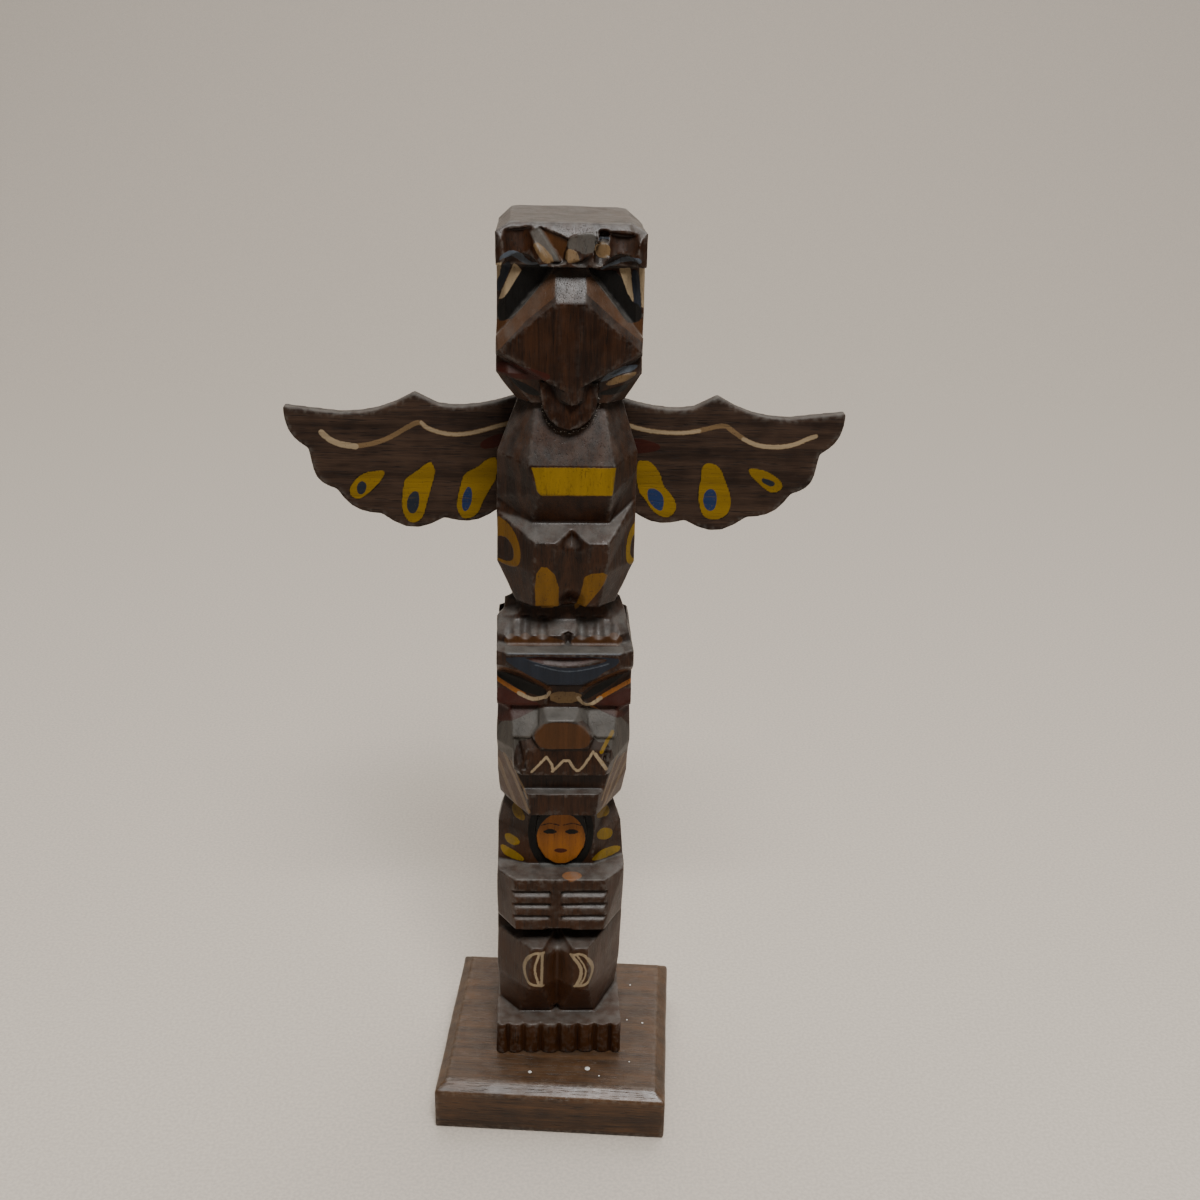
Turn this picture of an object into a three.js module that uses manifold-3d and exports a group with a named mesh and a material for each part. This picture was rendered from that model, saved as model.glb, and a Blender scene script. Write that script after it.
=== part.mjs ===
// A souvenir totem pole: one carved stick of square hardwood on a bevelled block, with a thin wing board
// let into its back. Millimetres, +Z up, front towards -Y, origin at the middle of the block's underside.
import * as THREE from 'three';
import { ConvexGeometry } from 'three/addons/geometries/ConvexGeometry.js';
import { mergeVertices } from 'three/addons/utils/BufferGeometryUtils.js';
import Module from 'manifold-3d';

const wasm = await Module();
wasm.setup();

// Driving dimensions.
const STOCK = 22;                 // side of the square stick
const HALF = STOCK / 2;
const FRONT = -HALF;
const BASE_SIDE = 40;
const BASE_SIDE_HEIGHT = 7.4;     // upright part of the block's sides
const BASE_HEIGHT = 8.9;
const BASE_BEVEL = 1.85;
const BASE_TWIST = -4.9;          // degrees; the pole was glued on a little askew
const POLE_BACK = 1.2;            // the pole stands this far behind the block's middle
const FEET_TOP = 15.1;
const KNEE_TOP = 31.1;
const LAP = 32.0;
const HAND_TOP = 44.9;
const JAW_BOTTOM = 57.3;
const JAW_TOP = 61.4;
const LIP_BOTTOM = 65.0;
const BEAR_TOP = 86.9;
const BELLY_BOTTOM = 94.2;
const BELLY_TOP = 105.4;
const CHEST_GROOVE = 107.9;
const BAND_BOTTOM = 113.4;
const BAND_TOP = 117.8;
const HEAD_BOTTOM = 127.0;
const BROW = 147.6;
const CROWN_FRONT = 151.0;
const HEAD_TOP = 153.9;
const BOARD = 2.1;                // thickness of the wing board
const NOTCH_PLAY = 0.3;           // clearance above and below the board in its notch
const BEYOND = 2;                 // how far a cutter stands out of the wood
const FINEST = 0.03;              // detail below this is merged

// ---- solids from three.js geometry ----

function solid(geometry) {
  geometry.deleteAttribute('normal');
  geometry.deleteAttribute('uv');
  const merged = mergeVertices(geometry, 1e-4);
  const mesh = new wasm.Mesh({
    numProp: 3,
    vertProperties: new Float32Array(merged.attributes.position.array),
    triVerts: new Uint32Array(merged.index.array),
  });
  return new wasm.Manifold(mesh);
}

function hull(points) {
  return solid(new ConvexGeometry(points.map(([x, y, z]) => new THREE.Vector3(x, y, z))));
}

function extrude(points, depth) {
  const shape = new THREE.Shape(points.map(([u, v]) => new THREE.Vector2(u, v)));
  return new THREE.ExtrudeGeometry(shape, { depth, bevelEnabled: false, steps: 1 });
}

// Upright prism: plan points [x, y] between two heights.
function uprightPrism(points, low, high) {
  const geometry = extrude(points, high - low);
  geometry.translate(0, 0, low);
  return solid(geometry);
}

// Prism along X: profile points [y, z] between two sides.
function sideProfile(points, left, right) {
  const geometry = extrude(points, right - left);
  geometry.applyMatrix4(new THREE.Matrix4().set(0, 0, 1, left, 1, 0, 0, 0, 0, 1, 0, 0, 0, 0, 0, 1));
  return solid(geometry);
}

// Prism along Y: front-view points [x, z] between two depths.
function frontProfile(points, near, far) {
  const geometry = extrude(points, far - near);
  geometry.applyMatrix4(new THREE.Matrix4().set(1, 0, 0, 0, 0, 0, -1, far, 0, 1, 0, 0, 0, 0, 0, 1));
  return solid(geometry);
}

// Round gouge: a bar of the given radius between two points.
function gouge(from, to, radius, sides = 14) {
  const start = new THREE.Vector3(...from);
  const end = new THREE.Vector3(...to);
  const along = end.clone().sub(start);
  const geometry = new THREE.CylinderGeometry(radius, radius, along.length(), sides);
  const turn = new THREE.Quaternion().setFromUnitVectors(new THREE.Vector3(0, 1, 0), along.normalize());
  geometry.applyQuaternion(turn);
  geometry.translate(...start.add(end).multiplyScalar(0.5).toArray());
  return solid(geometry);
}

const joined = (solids) => solids.reduce((all, next) => all.add(next));
const mirrored = (points) => points.map(([x, y, z]) => [-x, y, z]);

// ---- the pole's body: plan outlines stacked from the legs to the crown ----

// One plan outline. The front is flat between flat[0] and flat[1]; from there a facet runs back to the
// sides at side[0] and side[1]. The side corners may stand higher than the front ones, by lift, and the
// back corners by rise: the cuts round the sides slant down towards the back.
function outline({ z, front, flat, side, half = [HALF, HALF], lift = 0, rise = 0 }) {
  const back = HALF;
  const corner = 1.2;
  return [
    [flat[0], front, z],
    [flat[1], front, z],
    [half[1], side[1], z + lift],
    [half[1], back - corner, z + rise],
    [half[1] - corner, back, z + rise],
    [corner - half[0], back, z + rise],
    [-half[0], back - corner, z + rise],
    [-half[0], side[0], z + lift],
  ];
}

// Closed body through a stack of outlines, lowest first.
function stack(tiers) {
  const rings = tiers.map(outline);
  const count = rings[0].length;
  const triangles = [];
  const point = (ring, index) => rings[ring][index % count];
  for (let ring = 0; ring + 1 < rings.length; ring += 1) {
    for (let index = 0; index < count; index += 1) {
      const [a, b] = [point(ring, index), point(ring, index + 1)];
      const [c, d] = [point(ring + 1, index + 1), point(ring + 1, index)];
      triangles.push(a, b, c, a, c, d);
    }
  }
  const last = rings.length - 1;
  for (let index = 1; index + 1 < count; index += 1) {
    triangles.push(point(0, 0), point(0, index + 1), point(0, index));
    triangles.push(point(last, 0), point(last, index), point(last, index + 1));
  }
  const geometry = new THREE.BufferGeometry();
  geometry.setAttribute('position', new THREE.Float32BufferAttribute(triangles.flat(), 3));
  return solid(geometry);
}

function figureBody() {
  return stack([
    { z: FEET_TOP - 0.5, front: -6.7, flat: [-7.2, 6.4], side: [-2.4, 2.0], half: [10.6, 10.4] },
    { z: 22.5, front: FRONT, flat: [-5.4, 5.0], side: [-4.2, -1.2], half: [11, 10.7] },
    { z: KNEE_TOP, front: FRONT, flat: [-5.1, 4.8], side: [-3.9, -1.0] },
    { z: LAP, front: -5.6, flat: [-6.9, 6.6], side: [-2.9, -0.9], lift: 1.0 },
    { z: 34.7, front: -10.6, flat: [-7.8, 7.4], side: [-6.0, -4.8], half: [11, 10.8], lift: 0.6 },
    { z: HAND_TOP, front: FRONT, flat: [-8.0, 7.5], side: [-7.4, -7.0], half: [11, 10.8] },
    { z: HAND_TOP + 0.35, front: -6.5, flat: [-5.6, 5.4], side: [-4.4, -2.8], half: [11, 10.8] },
    { z: 51.0, front: -6.1, flat: [-5.8, 5.6], side: [-1.6, -0.8], half: [11, 10.4], rise: -4 },
    { z: 54.8, front: -5.8, flat: [-5.8, 5.6], side: [0.2, 0.4], half: [10.0, 8.9], lift: 0.4, rise: -6 },
    { z: JAW_BOTTOM + 0.6, front: -5.5, flat: [-5.6, 5.4], side: [1.0, 1.2], half: [9.4, 8.4], lift: -0.9,
      rise: -6 },
  ]);
}

function bearBody() {
  return stack([
    { z: JAW_BOTTOM, front: FRONT, flat: [-5.6, 5.5], side: [-0.4, -0.6], half: [10.7, 10.3], lift: -0.9,
      rise: -6 },
    { z: JAW_TOP, front: FRONT, flat: [-5.9, 5.9], side: [-1.9, -2.0], rise: -3 },
    { z: 66.9, front: FRONT, flat: [-7.4, 7.4], side: [-4.6, -4.6] },
    { z: 69.4, front: -10.7, flat: [-7.8, 7.8], side: [-6.6, -6.6] },
    { z: 75.6, front: -7.9, flat: [-9.0, 9.0], side: [-5.6, -5.6] },
    { z: 76.6, front: -8.6, flat: [-9.6, 9.6], side: [-8.0, -8.0] },
    { z: 81.2, front: -10.6, flat: [-9.8, 9.8], side: [-9.8, -9.8] },
    { z: BEAR_TOP, front: FRONT, flat: [-9.2, 8.6], side: [-9.8, -9.6] },
    { z: BEAR_TOP + 0.2, front: -7.9, flat: [-9.2, 8.4], side: [-6.8, -6.2], half: [11, 10.8] },
    { z: 88.6, front: -7.8, flat: [-9.2, 8.4], side: [-6.6, -5.8], half: [11, 10.5], rise: -3 },
    { z: 90.5, front: -5.4, flat: [-8.4, 7.6], side: [-3.8, -3.4], half: [11, 10.1], rise: -5 },
    { z: 91.3, front: -5.2, flat: [-8.0, 7.2], side: [-2.6, -2.0], half: [9.9, 9.8], rise: -5.5 },
    { z: BELLY_BOTTOM - 1.0, front: -4.8, flat: [-6.6, 6.2], side: [-2.2, -1.4], half: [9.8, 9.0], rise: -6 },
    { z: BELLY_BOTTOM + 0.4, front: -4.6, flat: [-5.2, 5.2], side: [-3.4, -3.4], half: [8.0, 8.1], rise: -6 },
  ]);
}

function birdBody() {
  return stack([
    { z: BELLY_BOTTOM, front: -9.1, flat: [-5.2, 5.2], side: [-6.2, -6.2], half: [7.9, 8.0], rise: -6 },
    { z: 100.6, front: -10.6, flat: [-5.1, 6.2], side: [-5.6, -5.2], rise: -3 },
    { z: BELLY_TOP, front: FRONT, flat: [-4.9, 6.5], side: [-5.2, -4.8], lift: 3.4 },
    { z: CHEST_GROOVE, front: -7.8, flat: [-5.4, 6.6], side: [-4.6, -4.4], lift: 3.2 },
    { z: BAND_BOTTOM, front: FRONT, flat: [-4.4, 6.8], side: [-5.0, -4.8], lift: 2.2, rise: -2 },
    { z: BAND_TOP, front: -10.4, flat: [-6.1, 7.2], side: [-5.6, -4.4], lift: 0.8, rise: -3.6 },
    { z: HEAD_BOTTOM + 0.4, front: -6.2, flat: [-5.0, 5.4], side: [-3.0, -3.0], half: [7.5, 8.1],
      rise: -2.4 },
  ]);
}

function headBody() {
  return stack([
    { z: HEAD_BOTTOM, front: -7.8, flat: [-5.6, 6.0], side: [-5.0, -5.0], half: [8.0, 8.6],
      rise: -2.4 },
    { z: 131.6, front: -8.8, flat: [-9.2, 9.2], side: [-7.4, -7.4] },
    { z: 135.0, front: -7.6, flat: [-9.6, 9.6], side: [-6.2, -6.2] },
    { z: BROW, front: -7.0, flat: [-9.6, 9.6], side: [-5.4, -5.4] },
    { z: BROW + 0.1, front: -10.7, flat: [-10.2, 10.0], side: [-10.0, -9.8] },
    { z: CROWN_FRONT, front: FRONT, flat: [-9.8, 9.6], side: [-10.0, -9.8], lift: 1.6, rise: 1.0 },
    { z: HEAD_TOP, front: -9.0, flat: [-8.6, 8.3], side: [-8.4, -8.4], half: [9.0, 8.7] },
  ]);
}

// ---- forms carved proud of the body ----

// A row of rounded toes: each one an arc that bulges to the front plane.
function toeBlock() {
  const widths = [1.9, 2.8, 3.0, 3.3];
  const bulge = 0.75;
  const steps = 5;
  const edges = [0];
  widths.toReversed().forEach((width) => edges.push(edges.at(-1) + width));
  const bounds = [...edges.slice(1).toReversed().map((x) => -x), ...edges];
  const front = [];
  for (let toe = 0; toe + 1 < bounds.length; toe += 1) {
    const width = bounds[toe + 1] - bounds[toe];
    for (let step = 0; step < steps; step += 1) {
      const t = step / steps;
      front.push([bounds[toe] + t * width, FRONT + bulge * (1 - Math.sin(Math.PI * t) ** 0.5)]);
    }
  }
  front.push([HALF, FRONT + bulge]);
  return uprightPrism([...front, [HALF, HALF], [-HALF, HALF]], BASE_HEIGHT, FEET_TOP);
}

// Hooked beak: a ridge down the middle, a flank and a narrow upper facet on each side, and the tip.
function beak() {
  const flank = [
    [2.4, -8.2, 147.4], [HALF, -7.9, 137.0], [2.2, FRONT, 142.5], [10.6, -9.4, 135.2], [1.5, FRONT, 138.9],
    [0.9, -10.9, 129.5], [HALF, -8.2, 134.4], [6.3, -9.9, 133.2], [2.4, -10.4, 131.4],
  ];
  const root = [[HALF, -3, 137], [HALF, -3, 134.4], [2.4, -3, 147.4], [2, -3, 131]];
  const upper = hull([...flank, ...mirrored(flank), ...root, ...mirrored(root)]);
  const tip = hull([
    [-2.9, -9.6, 132], [2.9, -9.6, 132], [-1.3, -10.9, 132], [1.5, -10.9, 132],
    [0.4, -10.8, 127.2], [1.2, -10.7, 127.3], [-1.6, -9.4, 128], [2.4, -9.4, 128], [-2, -5, 129], [2, -5, 129],
  ]);
  return upper.add(tip);
}

// Lower jaw: a round-bottomed block that hangs over the chest.
function chin() {
  const points = [];
  const steps = 8;
  for (let step = 0; step <= steps; step += 1) {
    const angle = Math.PI * (1 + step / steps);
    const [x, z] = [0.1 + 4.4 * Math.cos(angle), 128.6 + 5.3 * Math.sin(angle)];
    points.push([x, -10.1 + 0.06 * (x * x), z], [x * 0.9, -6, z + 0.6]);
  }
  points.push([-4.3, -9, 130.4], [4.5, -9, 130.4], [-4.3, -6, 130.4], [4.5, -6, 130.4]);
  return hull(points);
}

function bearNose() {
  return hull([
    [-3.6, -7.8, 76.6], [2.8, -7.8, 76.6], [-2.7, FRONT, 74.9], [1.6, FRONT, 74.9],
    [-5.1, -10.8, 71.8], [4.9, -10.8, 71.8], [-3.8, FRONT, 69.8], [4.1, FRONT, 69.8],
    [-5.9, -8, 72.4], [5.6, -8, 72.4], [-4.4, -8, 69.6], [4.6, -8, 69.6],
  ]);
}

// The seated figure's head: a flat oval face that stands a little out of the chest.
function figureFace() {
  const points = [];
  const steps = 14;
  for (let step = 0; step < steps; step += 1) {
    const angle = (2 * Math.PI * step) / steps;
    const [x, z] = [-0.1 + 4.4 * Math.cos(angle), 51.8 + 6.2 * Math.sin(angle)];
    points.push([x, -7.2, z], [x * 1.04, -5, z]);
  }
  return hull(points);
}

// ---- cuts ----

// V groove along X in the front: lower lip, apex and upper lip.
function frontGroove(left, right, low, apex, depth, high) {
  return sideProfile([[FRONT - BEYOND, low], [FRONT, low], [FRONT + depth, apex], [FRONT, high],
    [FRONT - BEYOND, high]], left, right);
}

// Upright V groove in the front, between two heights.
function uprightGroove(left, middle, right, apex, low, high) {
  const slope = (FRONT - apex) / (left - middle);
  const wider = BEYOND / slope;
  return uprightPrism([[left - wider, FRONT - BEYOND], [right + wider, FRONT - BEYOND], [middle, apex]], low, high);
}

// The cleft between the bird's thighs follows the slope of the belly.
function bellyGroove() {
  const [left, middle, right] = [-1.3, 0.8, 3.0];
  const lean = [[BELLY_BOTTOM - 1, -6.8], [CHEST_GROOVE, -8.9]];
  return hull(lean.flatMap(([z, apex]) => [[middle, apex, z], [left - 2, apex - 4.1, z], [right + 2, apex - 4.1, z]]));
}

function fingerCuts() {
  const pitch = 2.45;
  const first = 42.2;
  const cuts = [];
  for (let finger = 0; finger < 3; finger += 1) {
    const middle = first - finger * pitch;
    cuts.push(frontGroove(-8.6, -1.7, middle - 1.1, middle, 1.1, middle + 0.5));
    cuts.push(frontGroove(-0.1, 8.0, middle - 1.1, middle, 1.1, middle + 0.5));
  }
  return cuts;
}

// Each bear's eye is a wedge that slants down to the bridge of the nose.
function bearEyeCuts() {
  const eye = [
    [12, -13, 87.0], [2.0, -13, 82.5], [12, -11.2, 85.9], [2.2, -10.9, 81.4], [2.7, -8.8, 79.6],
    [12, -7.0, 82.6], [3.4, -13, 74.9], [12, -13, 72.6], [3.4, -8.8, 76.6], [12, -9.0, 74.6],
  ];
  const bridge = sideProfile([[-13, 82.0], [-11.2, 81.5], [-9.2, 80.6], [-8.4, 76.7], [-13, 74.6]], -2.7, 3.2);
  return [hull(eye), hull(mirrored(eye)), bridge];
}

function browSlit() {
  const top = 86.2;
  const drop = 1.9;
  const depth = 1.3;
  const reach = 8.0;
  const points = [[-reach, FRONT - BEYOND, top + 0.1], [reach, FRONT - BEYOND, top]];
  for (let x = -reach; x <= reach; x += reach / 4) {
    const sag = 1 - (x / reach) ** 2;
    points.push([x, FRONT - BEYOND, top - drop * sag], [x, FRONT, top - drop * sag],
      [0.6 * x, FRONT + depth * sag, top - 0.35 * drop * sag]);
  }
  return hull(points);
}

function mouthCut() {
  const back = -9.4;
  return sideProfile([[-13, JAW_TOP], [-10.9, JAW_TOP], [back, JAW_TOP + 0.2], [back, LIP_BOTTOM - 0.4],
    [-10.9, LIP_BOTTOM], [-13, LIP_BOTTOM]], -9.5, 9.5);
}

// Cheek lines beside the bear's upper lip.
function cheekCuts() {
  const deep = [[-9.0, -12, 73.4], [-7.0, -12, 73.4], [-7.6, -12, 65.6], [-5.6, -12, 65.6], [-7.8, -8.4, 72.4],
    [-6.4, -9.8, 66.0]];
  const shallow = [[7.0, -12, 71.0], [7.9, -12, 71.0], [5.8, -12, 65.8], [6.9, -12, 65.8], [7.2, -9.6, 70],
    [6.4, -10.4, 66.2]];
  return [hull(deep), hull(shallow)];
}

// Three gouged toes on each claw of the bird.
function clawCuts() {
  const cuts = [];
  const pitch = 2.75;
  const radius = 1.3;
  for (const start of [-9.1, 2.7]) {
    for (let toe = 0; toe < 3; toe += 1) {
      const x = start + toe * pitch;
      cuts.push(gouge([x, -5.7, 91.6], [x, -9.0, 88.6], radius, 12));
    }
  }
  const gap = [-0.3, -6.2, 90.6];
  cuts.push(hull([[-1.4, -10, 90.8], [0.8, -10, 90.8], [-1.4, -10, 88.4], [0.8, -10, 88.4], [-0.3, -10, 87.2],
    [-0.3, -7.5, 87.4], gap]));
  return cuts;
}

// The arches over the bird's eyes.
function eyeArchCuts() {
  const radius = 3.3;
  return [-7.3, 7.4].map((x) => gouge([x, -14, 146.1], [x, -8.2, 146.3], radius, 18));
}

// Gouge strokes that run down the front slope of the crown, one for each feather.
function featherCuts() {
  const feathers = [
    { top: -7.6, foot: -7.0, radius: 3.1, start: 153.4, deep: 1.3 },
    { top: -3.2, foot: -1.7, radius: 1.9, start: 153.9, deep: 1.1 },
    { top: 1.9, foot: 1.2, radius: 2.1, start: 153.6, deep: 0.8 },
    { top: 4.5, foot: 4.2, radius: 1.0, start: 152.6, deep: 0.8 },
    { top: 7.4, foot: 7.1, radius: 2.7, start: 152.9, deep: 1.1 },
  ];
  const foot = 148.4;
  const slope = (HEAD_TOP - CROWN_FRONT) / (FRONT + 9.0);
  return feathers.map(({ top, foot: low, radius, start, deep }) => {
    const entry = -9.0 + (start - HEAD_TOP) / slope;
    return gouge([top, entry - radius, start + 0.2], [low, FRONT - radius + deep, foot], radius, 16);
  });
}

// Slits at the corners of the bird's mouth.
function mouthSlits() {
  const slit = [[4.0, -12, 128.1], [6.4, -12, 128.5], [9.0, -12, 130.3], [8.6, -12, 131.2], [6.0, -12, 130.0],
    [5.2, -7.4, 128.9], [8.0, -7.0, 130.3]];
  return [hull(slit), hull(mirrored(slit))];
}

// ---- the three pieces ----

const WING_LOW = 104.6;
const WING_HIGH = 123.7;

function poleSolid() {
  const proud = joined([figureBody(), bearBody(), birdBody(), headBody(), toeBlock(), beak(), chin(),
    bearNose(), figureFace()]);
  const notch = frontProfile([[-20, WING_LOW - NOTCH_PLAY], [20, WING_LOW - NOTCH_PLAY],
    [20, WING_HIGH + NOTCH_PLAY], [-20, WING_HIGH + NOTCH_PLAY]], HALF - BOARD, HALF + BEYOND);
  const cuts = joined([
    uprightGroove(-3.1, -0.5, 2.3, -5.4, FEET_TOP, LAP + 3),
    bellyGroove(),
    ...fingerCuts(), ...bearEyeCuts(), browSlit(), mouthCut(), ...cheekCuts(), ...clawCuts(),
    ...eyeArchCuts(), ...featherCuts(), ...mouthSlits(), notch,
  ]);
  // Crumbs that crossing cuts leave loose fall away, and edges finer than a knife leaves are merged.
  const carved = proud.subtract(cuts).simplify(FINEST);
  return carved.decompose().reduce((most, part) => (part.volume() > most.volume() ? part : most));
}

// One wing's outline from its root to the tip and back: a saddle and a peak above, scallops below.
function wingOutline() {
  const upper = new THREE.Path();
  upper.moveTo(0, WING_HIGH);
  upper.lineTo(8.5, WING_HIGH);
  upper.quadraticCurveTo(16, 121.2, 21, 122.2);
  upper.lineTo(24.8, 124.1);
  upper.quadraticCurveTo(32, 119.4, 40.5, 121.0);
  upper.lineTo(46.1, 121.6);
  const lower = [[46.1, 120.8], [42.3, 114.5], [41.9, 112.3], [37.9, 107.6], [30.6, 103.4], [20.2, 102.8], [11, 104.6]];
  const bulges = [1.1, 0, 1.2, 1.3, 2.1, 1.4];
  const points = upper.getPoints(5).map(({ x, y }) => [x, y]);
  const steps = 5;
  lower.slice(0, -1).forEach(([x0, z0], index) => {
    const [x1, z1] = lower[index + 1];
    const length = Math.hypot(x1 - x0, z1 - z0);
    for (let step = 0; step < (bulges[index] ? steps : 1); step += 1) {
      const t = step / steps;
      const swell = bulges[index] * Math.sin(Math.PI * t);
      points.push([x0 + t * (x1 - x0) - (swell * (z1 - z0)) / length, z0 + t * (z1 - z0) + (swell * (x1 - x0)) / length]);
    }
  });
  points.push(lower.at(-1), [0, WING_LOW]);
  return points;
}

function wingSolid() {
  const right = wingOutline();
  const left = right.slice(1, -1).toReversed().map(([x, z]) => [-x, z]);
  return frontProfile([...right, ...left].toReversed(), HALF - BOARD, HALF);
}

function baseSolid() {
  const corners = [];
  for (const [reach, z] of [[0, 0], [0, BASE_SIDE_HEIGHT], [BASE_BEVEL, BASE_HEIGHT]]) {
    const side = BASE_SIDE / 2 - reach;
    corners.push([-side, -side, z], [side, -side, z], [side, side, z], [-side, side, z]);
  }
  return hull(corners);
}

// ---- named meshes ----

function piece(name, manifold, color, roughness) {
  const { vertProperties, triVerts, numProp } = manifold.getMesh();
  if (numProp !== 3) throw new Error(`${name} carries more than positions`);
  const geometry = new THREE.BufferGeometry();
  geometry.setAttribute('position', new THREE.BufferAttribute(vertProperties, 3));
  geometry.setIndex(new THREE.BufferAttribute(triVerts, 1));
  const mesh = new THREE.Mesh(geometry, new THREE.MeshStandardMaterial({ color, roughness, metalness: 0 }));
  mesh.name = name;
  return mesh;
}

const totem = new THREE.Group();
const base = piece('base', baseSolid(), 0x3a2620, 0.4);
base.rotation.z = THREE.MathUtils.degToRad(BASE_TWIST);
const carving = new THREE.Group();
carving.position.y = POLE_BACK;
carving.add(piece('pole', poleSolid(), 0x3d241a, 0.42));
carving.add(piece('wings', wingSolid(), 0x3b2721, 0.55));
totem.add(base, carving);

export default totem;
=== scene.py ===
"""Dresses the carved totem pole: worked wood, stain, thin varnish and painted details.

Carving sizes are millimetres in the pole's own frame: X to the right, Y from the front face at -11 to the
back at 11, and Z up from the underside of the base. Everything that reaches Blender is in metres.
"""

import logging
import math
from dataclasses import dataclass, field
from enum import Enum
from functools import partial
from typing import Iterable, Sequence

import bmesh
import bpy
import numpy as np
from mathutils import Matrix, Vector


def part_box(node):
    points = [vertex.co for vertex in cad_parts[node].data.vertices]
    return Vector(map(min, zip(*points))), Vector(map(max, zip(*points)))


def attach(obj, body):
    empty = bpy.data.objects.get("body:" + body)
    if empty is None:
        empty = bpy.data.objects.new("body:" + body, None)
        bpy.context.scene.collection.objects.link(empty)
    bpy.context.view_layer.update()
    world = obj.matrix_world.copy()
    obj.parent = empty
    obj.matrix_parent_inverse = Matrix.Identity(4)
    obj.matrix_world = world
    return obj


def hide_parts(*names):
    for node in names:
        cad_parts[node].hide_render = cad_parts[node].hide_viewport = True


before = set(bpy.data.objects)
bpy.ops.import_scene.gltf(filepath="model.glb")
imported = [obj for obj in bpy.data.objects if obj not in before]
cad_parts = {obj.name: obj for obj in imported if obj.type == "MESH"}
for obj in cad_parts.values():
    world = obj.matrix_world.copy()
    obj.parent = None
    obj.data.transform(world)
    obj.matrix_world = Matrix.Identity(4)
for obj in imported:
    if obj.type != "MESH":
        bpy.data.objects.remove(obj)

LOG = logging.getLogger("totem")
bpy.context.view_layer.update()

MM = 0.001
HALF_STOCK = 11.0  # half the side of the square stick
BODY = "root"
FAR = 1.5  # a painted outline's distance is kept up to this far outside it
WELD = 1e-6  # CAD corners closer than this, in metres, are one corner
FULL_RELIEF = 0.06  # an edge that stands out by this much shows all its wear and painted highlight; a hollow that lies in by this much, all its painted shade
FOOT = 1.5  # the hand tool's ripples fade out over this height above the table
RIPPLE_SEED = 11
CRUMB_SEED = 7

Point2 = tuple[float, float]
Colour = tuple[float, float, float]
Socket = bpy.types.NodeSocket

FRONT_HALF: Point2 = (-12.0, 0.0)  # the depths of marks that stop at the stick's axis


class Paint(Enum):
    """The paints on the carving, some laid on as painted light, each kept as a distance to its edge on the
    mesh.
    """

    RUST = "paint_rust"
    # Pale grey: worn and dusty wood, and a painted sheen where facets and edges catch the light.
    HAZE = "paint_haze"
    OCHRE = "paint_ochre"
    # Light blue-grey paint, also used for thin painted highlight lines.
    MIST = "paint_mist"
    YELLOW = "paint_yellow"
    CREAM = "paint_cream"
    SLATE = "paint_slate"
    BLUE = "paint_blue"
    BLACK = "paint_black"
    ORANGE = "paint_orange"
    RED = "paint_red"
    TAN = "paint_tan"


class View(Enum):
    """The two directions that paint was laid on from: the columns of its two coordinates."""

    FRONT = (0, 2)
    TOP = (0, 1)

    def inward(self) -> int:
        """The column that tells how deep a point lies."""
        return 3 - sum(self.value)


# ---------------------------------------------------------------- mesh helpers


def pole_origin() -> np.ndarray:
    """The pole frame's origin in metres: the stick's axis at the height of the base's underside."""
    low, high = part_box("pole")
    return np.array([(low.x + high.x) / 2, low.y + HALF_STOCK * MM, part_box("base")[0].z])


def solid_copy(node: str, name: str) -> bpy.types.Object:
    """Copies a CAD node's solid as a welded mesh object.

    Args:
        node: the CAD node's name.
        name: the new object's name.

    Returns:
        The new object, at the origin, with shared vertices.
    """
    work = bmesh.new()
    work.from_mesh(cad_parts[node].data)
    bmesh.ops.remove_doubles(work, verts=work.verts, dist=WELD)
    mesh = bpy.data.meshes.new(name)
    work.to_mesh(mesh)
    work.free()
    made = bpy.data.objects.new(name, mesh)
    bpy.context.scene.collection.objects.link(made)
    return made


def bake_modifiers(piece: bpy.types.Object) -> None:
    """Replaces a piece's mesh by its modified one and removes the modifiers.

    Args:
        piece: the object.
    """
    bpy.context.view_layer.update()
    evaluated = piece.evaluated_get(bpy.context.evaluated_depsgraph_get())
    mesh = bpy.data.meshes.new_from_object(evaluated)
    piece.modifiers.clear()
    old, piece.data = piece.data, mesh
    bpy.data.meshes.remove(old)
    mesh.name = piece.name


def remesh(piece: bpy.types.Object, voxel: float) -> None:
    """Rebuilds a solid as an even skin of small faces, voxel millimetres apart.

    Args:
        piece: the solid.
        voxel: the size of a face, in millimetres.
    """
    modifier = piece.modifiers.new("skin", "REMESH")
    modifier.mode = "VOXEL"
    modifier.voxel_size = voxel * MM
    modifier.use_smooth_shade = True
    bake_modifiers(piece)


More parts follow.
